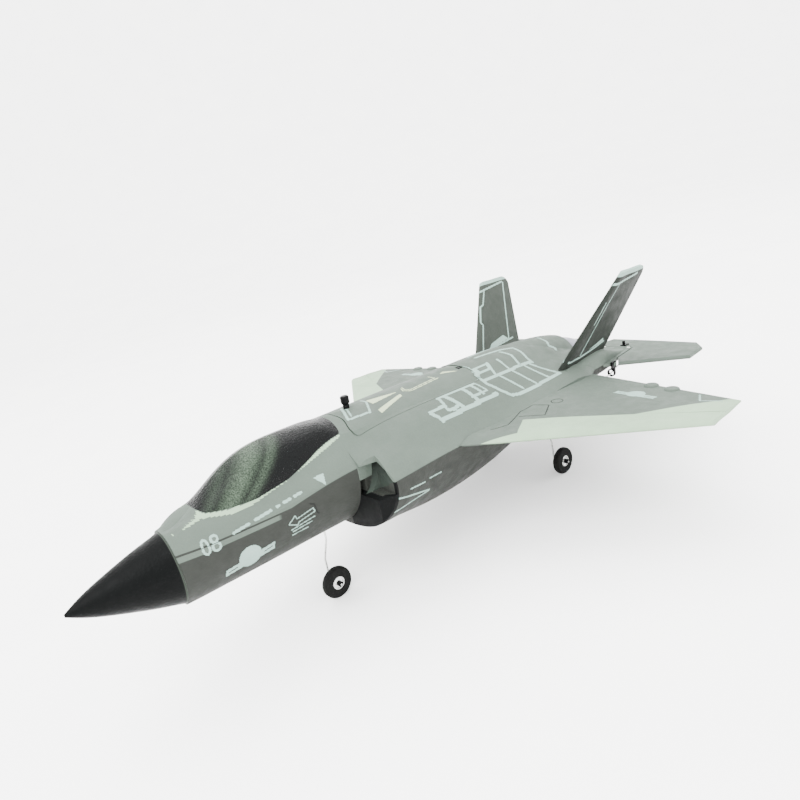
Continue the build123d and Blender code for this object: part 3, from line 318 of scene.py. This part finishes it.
# ---- Floor and light ---------------------------------------------------------------
def add_stage():
    """A pale floor that sweeps up behind the model, a soft sky and softboxes."""
    away = facing(-math.sin(CAMERA_AZIMUTH), math.cos(CAMERA_AZIMUTH), 0)
    away = Vector((away.x, away.y, 0)).normalized()
    across = Vector((away.y, -away.x, 0))
    bend, start, wall = 1.6, 1.6, 6.0
    profile = [(-4.0, 0.0), (start, 0.0)]
    for i in range(1, 13):
        angle = math.radians(90.0 * i / 12)
        profile.append((start + bend * math.sin(angle), bend - bend * math.cos(angle)))
    profile.append((start + bend, wall))
    vertices = []
    for run, rise in profile:
        for side in (-6.0, 6.0):
            vertices.append(away * run + across * side + Vector((0, 0, rise)))
    faces = [(2 * i, 2 * i + 1, 2 * i + 3, 2 * i + 2) for i in range(len(profile) - 1)]
    mesh = bpy.data.meshes.new("floor")
    mesh.from_pydata([tuple(v) for v in vertices], [], faces)
    for polygon in mesh.polygons:
        polygon.use_smooth = True
    floor = bpy.data.objects.new("floor", mesh)
    bpy.context.scene.collection.objects.link(floor)
    shader = Shader("floor_pale", roughness=0.95, specular=0.05)
    tone = shader.mix(shader.spread(shader.noise(9.0), 0.3, 0.7), rgb(250, 250, 250), rgb(254, 254, 253))
    floor.data.materials.append(shader.finish(colour=tone))
    world = bpy.data.worlds.new("sky")
    world.use_nodes = True
    world.node_tree.nodes["Background"].inputs["Color"].default_value = (1.0, 1.0, 1.0, 1.0)
    world.node_tree.nodes["Background"].inputs["Strength"].default_value = 5.5
    bpy.context.scene.world = world
    softboxes = [("key", (0.5, -0.9, 1.3), 1.0, 30.0), ("top", (-0.3, 0.3, 1.6), 1.3, 30.0)]
    for name, place, size, power in softboxes:
        light = bpy.data.lights.new(name, "AREA")
        light.size = size
        light.energy = power
        lamp = bpy.data.objects.new(name, light)
        bpy.context.scene.collection.objects.link(lamp)
        lamp.location = place
        lamp.rotation_euler = (Vector(place) - Vector((0, 0, 0.07))).to_track_quat("Z", "Y").to_euler()


add_stage()

# ---- Foam paint --------------------------------------------------------------------
paint_nodes(foam_shader("foam_upper", GREY_TOP, [(GREY_LOWER, lower_side)]), "fuselage_upper")
paint_nodes(foam_shader("foam_hatch", GREY_TOP), "hatch")
paint_nodes(foam_shader("foam_lower", GREY_LOWER, [(GREY_TOP, upper_nose)]), "fuselage_lower")
for side_name, side_sign in SIDES.items():
    paint_nodes(foam_shader(f"foam_wing_{side_name}", GREY_TOP,
                            [(PALE_GREEN, leading_strip(side_sign)), (GREY_LOWER, dark_underside(-0.6))]),
                f"wing_{side_name}")
    paint_nodes(foam_shader(f"foam_tail_{side_name}", GREY_TOP, [(GREY_LOWER, dark_underside(-0.9))]),
                f"tailplane_{side_name}", f"elevator_{side_name}")
    # Painted light: the near (left) fin takes the shaded grey and the far (right) fin takes the lit grey.
    fin_colour_with_painted_light = GREY_FIN_SHADED if side_sign > 0 else GREY_FIN_LIT
    paint_nodes(foam_shader(f"foam_fin_{side_name}", fin_colour_with_painted_light, [(MARKING, fin_cap(side_sign))]),
                f"fin_{side_name}")


# ---- Canopy and nose ---------------------------------------------------------------
def canopy_gloss():
    """Gloss black over foam beads, with long soft greenish painted reflections laid into its colour."""
    shader = Shader("canopy_gloss", roughness=0.22, specular=0.06)
    beads = shader.cells(900.0)
    grain = shader.noise(1500.0, detail=3.0)
    # Painted reflections: soft greenish bands mixed into the gloss black colour stand in for reflected light.
    painted_reflections = []
    for centre, width, strength in ((2.0, 4.5, 0.62), (13.0, 2.5, 0.4), (-9.0, 2.0, 0.2)):
        across = shader.reach((0, 76.0 + centre, 12.0), (0, 1.0, -1.05))
        hump = shader.math("DIVIDE", across, width)
        hump = shader.math("EXPONENT", shader.math("MULTIPLY", shader.math("MULTIPLY", hump, hump), -1.0))
        painted_reflections.append(shader.math("MULTIPLY", hump, strength))
    painted_reflection = shader.any_of(*painted_reflections)
    painted_reflection = shader.math("MULTIPLY", painted_reflection, shader.spread(grain, 0.35, 0.65, 0.25, 1.0))
    speck = shader.math("MULTIPLY", shader.spread(grain, 0.52, 0.75), 0.35)
    colour = shader.mix(speck, rgb(3, 4, 4), rgb(15, 17, 15))
    colour = shader.mix(painted_reflection, colour, rgb(78, 93, 77))
    normal = shader.bump(beads, 0.35, 0.0007)
    normal = shader.bump(grain, 0.25, 0.0004, under=normal)
    rough = shader.spread(grain, 0.3, 0.7, 0.18, 0.36)
    shader.surface.inputs["Coat Weight"].default_value = 0.03
    shader.surface.inputs["Coat Roughness"].default_value = 0.12
    return shader.finish(colour=colour, roughness=rough, normal=normal)


def nose_black():
    """Satin black with a slightly rubbed tip and a grey ring at its base."""
    shader = Shader("nose_black", roughness=0.42, specular=0.04)
    grain = shader.noise(1500.0, detail=3.0)
    rubbed = shader.math("MULTIPLY", shader.beyond((0, 7.0, 0), (0, -1, 0), 9.0),
                         shader.spread(grain, 0.4, 0.7, 0.0, 0.4))
    colour = shader.mix(rubbed, rgb(3, 4, 4), rgb(9, 10, 10))
    colour = shader.mix(shader.beyond((0, 46.2, 0), (0, 1, 0), 0.2), colour, rgb(42, 47, 42))
    normal = shader.bump(shader.cells(800.0), 0.16, 0.0006)
    rough = shader.spread(shader.noise(220.0, detail=3.0), 0.3, 0.7, 0.34, 0.5)
    return shader.finish(colour=colour, roughness=rough, normal=normal)


paint_nodes(canopy_gloss(), "canopy")
paint_nodes(nose_black(), "nose_cone")


# ---- Hard parts --------------------------------------------------------------------
def plain(name, colour, roughness=0.5, metallic=0.0, wear=0.06, scale=300.0, specular=0.5):
    """A moulded or metal surface with slight changes of tone and roughness."""
    shader = Shader(name, roughness=roughness, metallic=metallic, specular=specular)
    cloud = shader.noise(scale, detail=4.0, roughness=0.6)
    tone = shader.spread(cloud, 0.3, 0.7, 1.0 - wear, 1.0 + wear)
    rough = shader.spread(cloud, 0.3, 0.7, max(0.04, roughness - 0.07), roughness + 0.09)
    normal = shader.bump(shader.noise(scale * 6.0, detail=2.0), 0.06, 0.0003)
    return shader.finish(colour=shader.toned(colour, tone), roughness=rough, normal=normal)


def ramp_painted_shade():
    """Grey intake ramp with painted shade: darker at its top in the shadow of the recess, lighter towards its
    foot where it faces up into the light.
    """
    shader = Shader("ramp_grey", roughness=0.6, specular=0.1)
    # Painted shade: the colour runs from a shaded dark grey at the ramp's top to a lit grey at its foot.
    share = shader.spread(shader.reach((0, 0, 10.0), (0, 0, -1)), 0.0, 17.0)
    colour = shader.mix(share, rgb(10, 13, 11), rgb(40, 47, 42))
    normal = shader.bump(shader.noise(1500.0, detail=2.0), 0.1, 0.0004)
    return shader.finish(colour=colour, normal=normal)


def tyre_foam():
    """Black foam rubber with pores."""
    shader = Shader("tyre_foam", roughness=0.85, specular=0.1)
    pores = shader.cells(1500.0)
    colour = shader.mix(shader.spread(pores, 0.1, 0.7), rgb(4, 4, 4), rgb(13, 13, 12))
    return shader.finish(colour=colour, normal=shader.bump(pores, 0.3, 0.0006))


def carbon_rod():
    """Black rod with fibres along its length."""
    shader = Shader("carbon_rod", roughness=0.35, specular=0.5)
    fibres = shader.noise(900.0, detail=3.0, stretch=(0.05, 1.0, 1.0))
    colour = shader.mix(fibres, rgb(12, 12, 13), rgb(44, 44, 46))
    return shader.finish(colour=colour, normal=shader.bump(fibres, 0.1, 0.0002))


def plywood():
    """Thin pale plywood with grain along its length."""
    shader = Shader("plywood", roughness=0.7, specular=0.3)
    grain = shader.noise(420.0, detail=4.0, stretch=(1.0, 0.08, 1.0))
    colour = shader.mix(shader.spread(grain, 0.3, 0.7), rgb(196, 160, 108), rgb(150, 112, 66))
    return shader.finish(colour=colour, normal=shader.bump(grain, 0.12, 0.0003))


def woven(name, colour):
    """Rough woven band."""
    shader = Shader(name, roughness=0.9, specular=0.2)
    threads = shader.noise(2400.0, detail=1.0, stretch=(1.0, 0.3, 1.0))
    tone = shader.spread(threads, 0.3, 0.7, 0.6, 1.4)
    return shader.finish(colour=shader.toned(colour, tone), normal=shader.bump(threads, 0.4, 0.0005))


def brushed(name, colour, roughness):
    """Metal with fine drawn lines."""
    shader = Shader(name, roughness=roughness, metallic=1.0)
    lines = shader.noise(1200.0, detail=2.0, stretch=(1.0, 0.1, 1.0))
    tone = shader.spread(lines, 0.3, 0.7, 0.9, 1.06)
    rough = shader.spread(lines, 0.3, 0.7, roughness - 0.05, roughness + 0.08)
    return shader.finish(colour=shader.toned(colour, tone), roughness=rough)


black_plastic = plain("black_plastic", rgb(5, 5, 6), roughness=0.42, wear=0.15, specular=0.06)
steel = brushed("steel_wire", rgb(196, 196, 194), 0.28)
paint_nodes(black_plastic, "hatch_knob", "hatch_hinge_tab", "hatch_hinge_ears", "fan_duct", "gear_sockets",
            "axle_collars", "battery_connector", "pushrod_guide_left", "pushrod_guide_right",
            "elevator_horn_left", "elevator_horn_right")
paint_nodes(plain("rotor_black", rgb(10, 10, 11), roughness=0.3, wear=0.1, specular=0.1),
            "fan_rotor", "fan_spinner")
paint_nodes(plain("lip_black", rgb(6, 7, 7), roughness=0.62, wear=0.2, specular=0.04), "intake_lip_left",
            "intake_lip_right")
paint_nodes(ramp_painted_shade(), "intake_ramp_left", "intake_ramp_right")
paint_nodes(plain("nozzle_grey", rgb(84, 86, 98), roughness=0.36, wear=0.09, scale=120.0), "nozzle")
paint_nodes(tyre_foam(), "nose_tyre", "main_tyre_left", "main_tyre_right")
paint_nodes(plain("hub_chrome", rgb(214, 214, 212), roughness=0.13, metallic=1.0, wear=0.05), "nose_hub",
            "main_hub_left", "main_hub_right")
paint_nodes(steel, "pushrod_left", "pushrod_right", "elevator_hinge_wires", "hatch_hinge_pin",
            "fan_shaft", "nose_gear_leg", "main_gear_leg_left", "main_gear_leg_right")
paint_nodes(carbon_rod(), "wing_spar")
paint_nodes(plain("white_nylon", rgb(222, 222, 216), roughness=0.38, wear=0.04), "servo_slider_left",
            "servo_slider_right", "elevator_hinge_lugs")
paint_nodes(plain("servo_blue", rgb(34, 52, 92), roughness=0.25, wear=0.1), "elevator_servo_left",
            "elevator_servo_right")
paint_nodes(brushed("motor_can", rgb(206, 206, 208), 0.3), "fan_motor")
paint_nodes(brushed("magnet_nickel", rgb(210, 208, 202), 0.18), "hatch_magnets", "rim_magnets")
paint_nodes(plain("battery_wrap", rgb(38, 44, 54), roughness=0.24, wear=0.15), "battery",
            "speed_controller")
paint_nodes(plywood(), "battery_tray")
paint_nodes(woven("strap_fabric", rgb(24, 24, 26)), "battery_strap")
paint_nodes(plain("board_green", rgb(24, 78, 46), roughness=0.4, wear=0.12, scale=700.0), "receiver")


# ---- Markings ----------------------------------------------------------------------
# A marking is a thin closed sheet laid on the painted surface. Its outline is drawn in a
# flat view of the airframe and cut into small cells, and each cell's corners are dropped
# onto the surface below. The sheet then rides the body that it lies on.
SHEET_LIFT = 0.00009
SHEET_SINK = 0.00004
BODY_OF = {"hatch": "hatch", "elevator_left": "elevator_left", "elevator_right": "elevator_right"}
surface_trees = {}


def surface_tree(name):
    """The searchable surface of a CAD node."""
    if name not in surface_trees:
        mesh = NODES[name].data
        points = [vertex.co.copy() for vertex in mesh.vertices]
        surface_trees[name] = BVHTree.FromPolygons(points, [tuple(p.vertices) for p in mesh.polygons])
    return surface_trees[name]


def top_view(side):
    """Drawn in (x, y) and dropped from above."""
    return lambda u, v: (mm(side * u, v, 70.0), facing(0, 0, -1))


def side_view(side):
    """Drawn in (y, z) and thrown inward from one side."""
    return lambda u, v: (mm(side * 80.0, u, v), facing(-side, 0, 0))


def fin_view(side, outer):
    """Drawn in (y, height) on a fin's outer or inner face."""
    turn = 1 if outer else -1

    def ray(u, v):
        start = mm(*fin_point(side, u, v, turn * 12.0))
        return start, facing(-turn * side * math.cos(FIN_CANT), 0, turn * math.sin(FIN_CANT))

    return ray


def inside(points, u, v):
    """Whether a point lies in a polygon."""
    found = False
    for (u0, v0), (u1, v1) in zip(points, points[1:] + points[:1]):
        if (v0 > v) != (v1 > v) and u < (u1 - u0) * (v - v0) / (v1 - v0) + u0:
            found = not found
    return found


def near(points, width, u, v):
    """Whether a point lies within half a width of a line."""
    for (u0, v0), (u1, v1) in zip(points, points[1:]):
        run, rise = u1 - u0, v1 - v0
        share = ((u - u0) * run + (v - v0) * rise) / max(run * run + rise * rise, 1e-9)
        share = min(1.0, max(0.0, share))
        if math.hypot(u - u0 - share * run, v - v0 - share * rise) <= width / 2:
            return True
    return False


def patch(points):
    """A filled polygon."""
    return points, 0.0, lambda u, v: inside(points, u, v)


def stroke(points, width):
    """A line of even width."""
    return points, width, lambda u, v: near(points, width, u, v)


def ring(centre, radius, width):
    """A circle drawn as a line."""
    steps = 24
    points = [(centre[0] + radius * math.cos(math.tau * i / steps),
               centre[1] + radius * math.sin(math.tau * i / steps)) for i in range(steps + 1)]
    return stroke(points, width)


def disc(centre, radius):
    """A filled circle."""
    steps = 28
    return patch([(centre[0] + radius * math.cos(math.tau * i / steps),
                   centre[1] + radius * math.sin(math.tau * i / steps)) for i in range(steps)])


def cells_of(shapes, cell):
    """The grid cells whose middles lie in any of the shapes."""
    found = set()
    for points, width, test in shapes:
        low = [min(p[i] for p in points) - width for i in (0, 1)]
        high = [max(p[i] for p in points) + width for i in (0, 1)]
        for i in range(math.floor(low[0] / cell), math.ceil(high[0] / cell) + 1):
            for j in range(math.floor(low[1] / cell), math.ceil(high[1] / cell) + 1):
                if test((i + 0.5) * cell, (j + 0.5) * cell):
                    found.add((i, j))
    return found


def dropped(ray, targets, u, v):
    """The first target surface that a view's ray meets: its node, place and normal."""
    start, direction = ray(u, v)
    best = None
    for name in targets:
        place, normal, _, distance = surface_tree(name).ray_cast(start, direction)
        if place is not None and (best is None or distance < best[3]):
            best = (name, place, normal if normal.dot(direction) < 0 else -normal, distance)
    return best


def add_marking(name, material, ray, targets, shapes, cell=0.5, holes=()):
    """Lays a marking on the surface, one sheet for each body that it covers."""
    corners = {}
    by_node = {}
    for i, j in sorted(cells_of(shapes, cell) - cells_of(holes, cell)):
        hits = []
        for a, b in ((i, j), (i + 1, j), (i + 1, j + 1), (i, j + 1)):
            if (a, b) not in corners:
                corners[(a, b)] = dropped(ray, targets, a * cell, b * cell)
            hits.append(corners[(a, b)])
        if any(hit is None for hit in hits) or len({hit[0] for hit in hits}) > 1:
            continue
        if max((hits[k][1] - hits[k - 1][1]).length for k in range(4)) > 0.004 * cell:
            continue
        by_node.setdefault(hits[0][0], []).append((i, j))
    for node_name, cells in by_node.items():
        add_sheet(f"{name}.{node_name}", material, corners, cells, node_name)


def add_sheet(name, material, corners, cells, node_name):
    """Makes one closed sheet from grid cells and gives it to its body."""
    index = {}
    points = []
    for i, j in cells:
        for key in ((i, j), (i + 1, j), (i + 1, j + 1), (i, j + 1)):
            if key not in index:
                index[key] = len(points)
                _, place, normal, _ = corners[key]
                points += [tuple(place + normal * SHEET_LIFT), tuple(place - normal * SHEET_SINK)]
    edges = {}
    faces = []
    for i, j in cells:
        loop = [index[key] for key in ((i, j), (i + 1, j), (i + 1, j + 1), (i, j + 1))]
        faces.append(tuple(loop))
        faces.append(tuple(k + 1 for k in reversed(loop)))
        for start, end in zip(loop, loop[1:] + loop[:1]):
            edges.setdefault((min(start, end), max(start, end)), []).append((start, end))
    for uses in edges.values():
        if len(uses) == 1:
            start, end = uses[0]
            faces.append((end, start, start + 1, end + 1))
    first = [Vector(points[k]) for k in faces[0][:3]]
    normal = (first[1] - first[0]).cross(first[2] - first[1])
    above = Vector(points[faces[0][0]]) - Vector(points[faces[0][0] + 1])
    if normal.dot(above) < 0:
        faces = [tuple(reversed(face)) for face in faces]
    mesh = bpy.data.meshes.new(name)
    mesh.from_pydata(points, [], faces)
    mesh.materials.append(material)
    sheet = bpy.data.objects.new(name, mesh)
    bpy.context.scene.collection.objects.link(sheet)
    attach(sheet, BODY_OF.get(node_name, "airframe"))


pale_paint = foam_shader("marking_pale", MARKING, roughness=0.55)
cream_paint = foam_shader("marking_cream", CREAM, roughness=0.55)
green_paint = foam_shader("marking_green", PALE_GREEN, roughness=0.55)
dark_line = foam_shader("marking_dark", LINE_DARK, roughness=0.65)

UPPER = ["fuselage_upper", "hatch"]

FRONT_LADDER = [
    stroke([(24.9, 211.4), (24.9, 244.5)], 1.5),
    stroke([(24.6, 244.5), (31.9, 247.6), (32.4, 233.1)], 1.2),
    stroke([(37.2, 201.8), (36.4, 228.0), (35.7, 252.0)], 2.1),
    stroke([(25.1, 232.9), (35.0, 235.1)], 2.8),
    stroke([(25.4, 240.6), (32.6, 243.0)], 2.0),
    stroke([(25.8, 217.1), (36.2, 222.0)], 2.8),
    stroke([(31.4, 198.3), (31.0, 210.3), (33.8, 210.3), (34.6, 214.5), (33.6, 219.9)], 1.8),
    stroke([(32.1, 198.3), (35.0, 200.7), (37.6, 201.6)], 2.2),
    stroke([(26.2, 212.0), (31.4, 211.0)], 2.0),
]
MIDDLE_LADDER = [
    stroke([(22.1, 252.4), (28.4, 252.1), (30.8, 253.9), (35.5, 257.2), (39.8, 261.1)], 2.2),
    stroke([(39.8, 261.1), (40.9, 266.6), (40.6, 312.1)], 2.0),
    stroke([(26.4, 299.4), (33.3, 306.0), (40.6, 312.1)], 1.6),
    stroke([(25.7, 252.7), (25.0, 301.4)], 2.0),
    stroke([(26.7, 267.2), (38.7, 273.9)], 1.7),
    stroke([(26.9, 280.3), (39.2, 287.0)], 1.6),
    stroke([(26.6, 293.6), (39.5, 301.1)], 1.6),
]
SPINE_PANEL = [
    patch([(14.0, 253.6), (14.2, 270.3), (19.8, 267.3), (19.9, 256.1), (23.2, 250.0)]),
    stroke([(14.2, 270.3), (24.0, 265.7)], 1.8),
    stroke([(14.7, 280.1), (23.6, 279.6)], 1.7),
    stroke([(8.2, 291.4), (15.4, 294.1), (24.7, 290.8)], 1.8),
    stroke([(3.3, 271.1), (5.4, 294.9), (8.5, 305.3), (15.6, 304.8), (21.5, 303.0), (25.4, 303.0)], 1.9),
    stroke([(5.0, 252.6), (11.5, 254.6), (22.1, 252.9)], 1.6),
]
SPINE_INLAY = [patch([(15.4, 258.0), (15.6, 267.6), (18.4, 266.0), (18.6, 258.0)])]
HATCH_BOX = [
    stroke([(-2.7, 161.4), (12.9, 154.6), (14.1, 169.3)], 1.5),
    stroke([(14.1, 169.3), (3.2, 175.6), (-1.8, 175.6)], 1.2),
    stroke([(1.4, 162.3), (10.8, 158.4)], 1.0),
]
HATCH_CREAM = [
    patch([(1.8, 176.6), (5.5, 192.2), (6.5, 196.9), (8.6, 176.3)]),
    patch([(15.1, 174.3), (9.8, 196.3), (12.3, 195.5), (18.1, 174.5)]),
    stroke([(4.8, 201.8), (8.0, 200.4), (11.1, 204.0), (9.0, 229.4)], 0.6),
    stroke([(3.6, 203.4), (7.4, 202.2), (9.6, 205.0), (7.6, 227.6), (2.7, 226.7)], 0.6),
    patch([(3.7, 238.5), (10.4, 246.4), (5.3, 235.0)]),
]
FAIRING_FLASH = [stroke([(3.8, 340.7), (11.3, 341.0), (14.7, 338.2), (16.7, 342.5), (18.9, 340.3)], 1.7)]
WING_LINES = [
    stroke([(56.3, 219.9), (59.0, 231.8), (51.5, 252.7), (51.9, 265.3), (61.6, 268.5)], 0.45),
    stroke([(61.6, 268.5), (69.2, 253.7), (55.7, 246.3)], 0.45),
    ring((62.2, 276.2), 3.6, 0.45),
]
WING_MARK = [disc((99.4, 303.4), 5.4), patch([(86.5, 305.4), (86.2, 301.2), (113.0, 297.2), (113.4, 301.6)])]
WING_MARK_HOLES = [stroke([(88.2, 303.2), (93.0, 302.4)], 0.7), stroke([(106.0, 300.5), (111.8, 299.6)], 0.7)]
WING_BAND = [stroke([(132.9, 312.6), (137.5, 301.9), (147.4, 305.8)], 1.0)]

for mark_side_name, mark_side in SIDES.items():
    wing_targets = [f"wing_{mark_side_name}"]
    plan = top_view(mark_side)
    for mark_name, shapes in (("ladder_front", FRONT_LADDER), ("ladder_middle", MIDDLE_LADDER),
                              ("spine_panel", SPINE_PANEL), ("fairing_flash", FAIRING_FLASH)):
        holes = SPINE_INLAY if mark_name == "spine_panel" else ()
        add_marking(f"{mark_name}_{mark_side_name}", pale_paint, plan, UPPER, shapes, holes=holes)
    add_marking(f"wing_lines_{mark_side_name}", dark_line, plan, wing_targets, WING_LINES, cell=0.25)
    add_marking(f"wing_mark_{mark_side_name}", pale_paint, plan, wing_targets, WING_MARK,
                holes=WING_MARK_HOLES)
    add_marking(f"wing_band_{mark_side_name}", pale_paint, plan, wing_targets, WING_BAND)
add_marking("hatch_box", pale_paint, top_view(1), UPPER, HATCH_BOX)
add_marking("hatch_cream", cream_paint, top_view(1), UPPER, HATCH_CREAM, cell=0.4)

CANOPY_BORDER = [patch([
    (50.0, 8.0), (53.2, 9.2), (62.5, 11.3), (65.4, 11.2), (77.1, 8.5), (86.1, 8.4), (93.4, 9.6),
    (107.0, 12.6), (116.1, 15.5), (135.2, 20.6), (143.5, 23.9), (143.6, 25.2), (129.0, 21.2),
    (109.0, 13.9), (90.0, 10.6), (76.0, 11.4), (66.5, 13.4), (62.0, 16.6), (62.0, 24.0), (48.0, 24.0)])]
ARROW = [
    stroke([(100.5, -7.4), (104.5, -4.0), (105.3, -6.2), (114.8, -4.2), (115.7, -6.5), (106.1, -8.5),
            (105.4, -10.0), (100.5, -7.4)], 0.5),
    stroke([(101.8, -11.2), (115.4, -9.4)], 0.55),
    stroke([(102.3, -12.7), (113.5, -11.7)], 0.55),
    stroke([(102.2, -14.7), (111.1, -14.3)], 0.55),
    patch([(119.9, 10.2), (125.7, 10.6), (124.2, 5.1)]),
]
ROUND_MARK = [disc((78.7, -14.6), 5.9), patch([(65.4, -20.0), (65.8, -16.4), (92.0, -12.9), (91.6, -17.0)])]
ROUND_MARK_HOLES = [stroke([(67.0, -18.2), (71.6, -17.5)], 0.7), stroke([(86.2, -15.8), (90.4, -15.1)], 0.7)]
NUMBER = [
    stroke([(58.2, -1.2), (58.6, 2.6), (59.7, 3.4), (60.8, 2.6), (61.2, -1.2), (60.7, -2.7), (59.7, -3.3),
            (58.6, -2.7), (58.2, -1.2)], 1.0),
    ring((64.4, 2.2), 1.5, 1.1), ring((64.4, -1.5), 1.8, 1.1),
]
DASHES = [stroke([(y0, 1.0 + (y0 - 72.5) * 0.133), (y1, 1.0 + (y1 - 72.5) * 0.133)], 1.3)
          for y0, y1 in ((73.5, 81.5), (85.1, 93.7), (97.1, 98.3), (101.2, 104.7), (107.2, 111.1))]
NACELLE_STRIPES = [
    stroke([(145.8, -7.4), (177.8, -18.0)], 0.8),
    stroke([(145.7, -16.3), (177.8, -18.6)], 0.8),
    stroke([(159.6, -7.7), (171.7, -9.6)], 0.8),
    stroke([(176.0, -9.2), (185.8, -10.0)], 0.8),
]
SQUIGGLE = [stroke([(113.6, -1.3), (115.7, -2.3), (116.5, -5.0), (116.7, -7.6), (117.8, -8.8)], 0.6)]
NOSE_FOAM = ["fuselage_upper", "fuselage_lower"]
for mark_side_name, mark_side in SIDES.items():
    profile = side_view(mark_side)
    add_marking(f"canopy_border_{mark_side_name}", green_paint, profile, ["fuselage_upper"], CANOPY_BORDER)
    add_marking(f"nose_number_{mark_side_name}", pale_paint, profile, NOSE_FOAM, NUMBER, cell=0.3)
    for mark_name, shapes, holes in (("arrow", ARROW, ()), ("round_mark", ROUND_MARK, ROUND_MARK_HOLES),
                                     ("dashes", DASHES, ()), ("stripes", NACELLE_STRIPES, ())):
        add_marking(f"{mark_name}_{mark_side_name}", pale_paint, profile, NOSE_FOAM, shapes, cell=0.35,
                    holes=holes)
    add_marking(f"squiggle_{mark_side_name}", dark_line, profile, NOSE_FOAM, SQUIGGLE, cell=0.3)

FIN_OUTER = [
    stroke([(350.0, 54.6), (362.1, 54.9), (383.4, 57.6)], 1.4),
    stroke([(361.5, 54.5), (353.6, 41.8), (345.4, 25.7), (334.8, 5.8)], 0.7),
    stroke([(349.2, 42.9), (341.5, 28.3)], 0.7),
    stroke([(320.5, 4.8), (335.7, 4.3), (364.5, 9.0)], 1.3),
    patch([(344.4, 7.4), (363.0, 9.6), (362.0, 12.4)]),
]
FIN_INNER = [
    stroke([(353.8, 54.6), (384.7, 57.9)], 1.4),
    stroke([(359.3, 55.2), (350.1, 43.4), (346.4, 42.4), (338.4, 30.1), (339.4, 27.5), (326.1, 7.3)], 1.2),
    stroke([(385.3, 56.8), (360.7, 9.9)], 1.2),
    stroke([(316.6, 5.4), (365.7, 9.4)], 1.3),
    patch([(334.2, 7.2), (339.3, 10.9), (355.8, 14.1), (360.0, 9.9)]),
]
for mark_side_name, mark_side in SIDES.items():
    for face_name, is_outer, shapes in (("outer", True, FIN_OUTER), ("inner", False, FIN_INNER)):
        add_marking(f"fin_{face_name}_{mark_side_name}", pale_paint, fin_view(mark_side, is_outer),
                    [f"fin_{mark_side_name}"], shapes, cell=0.4)
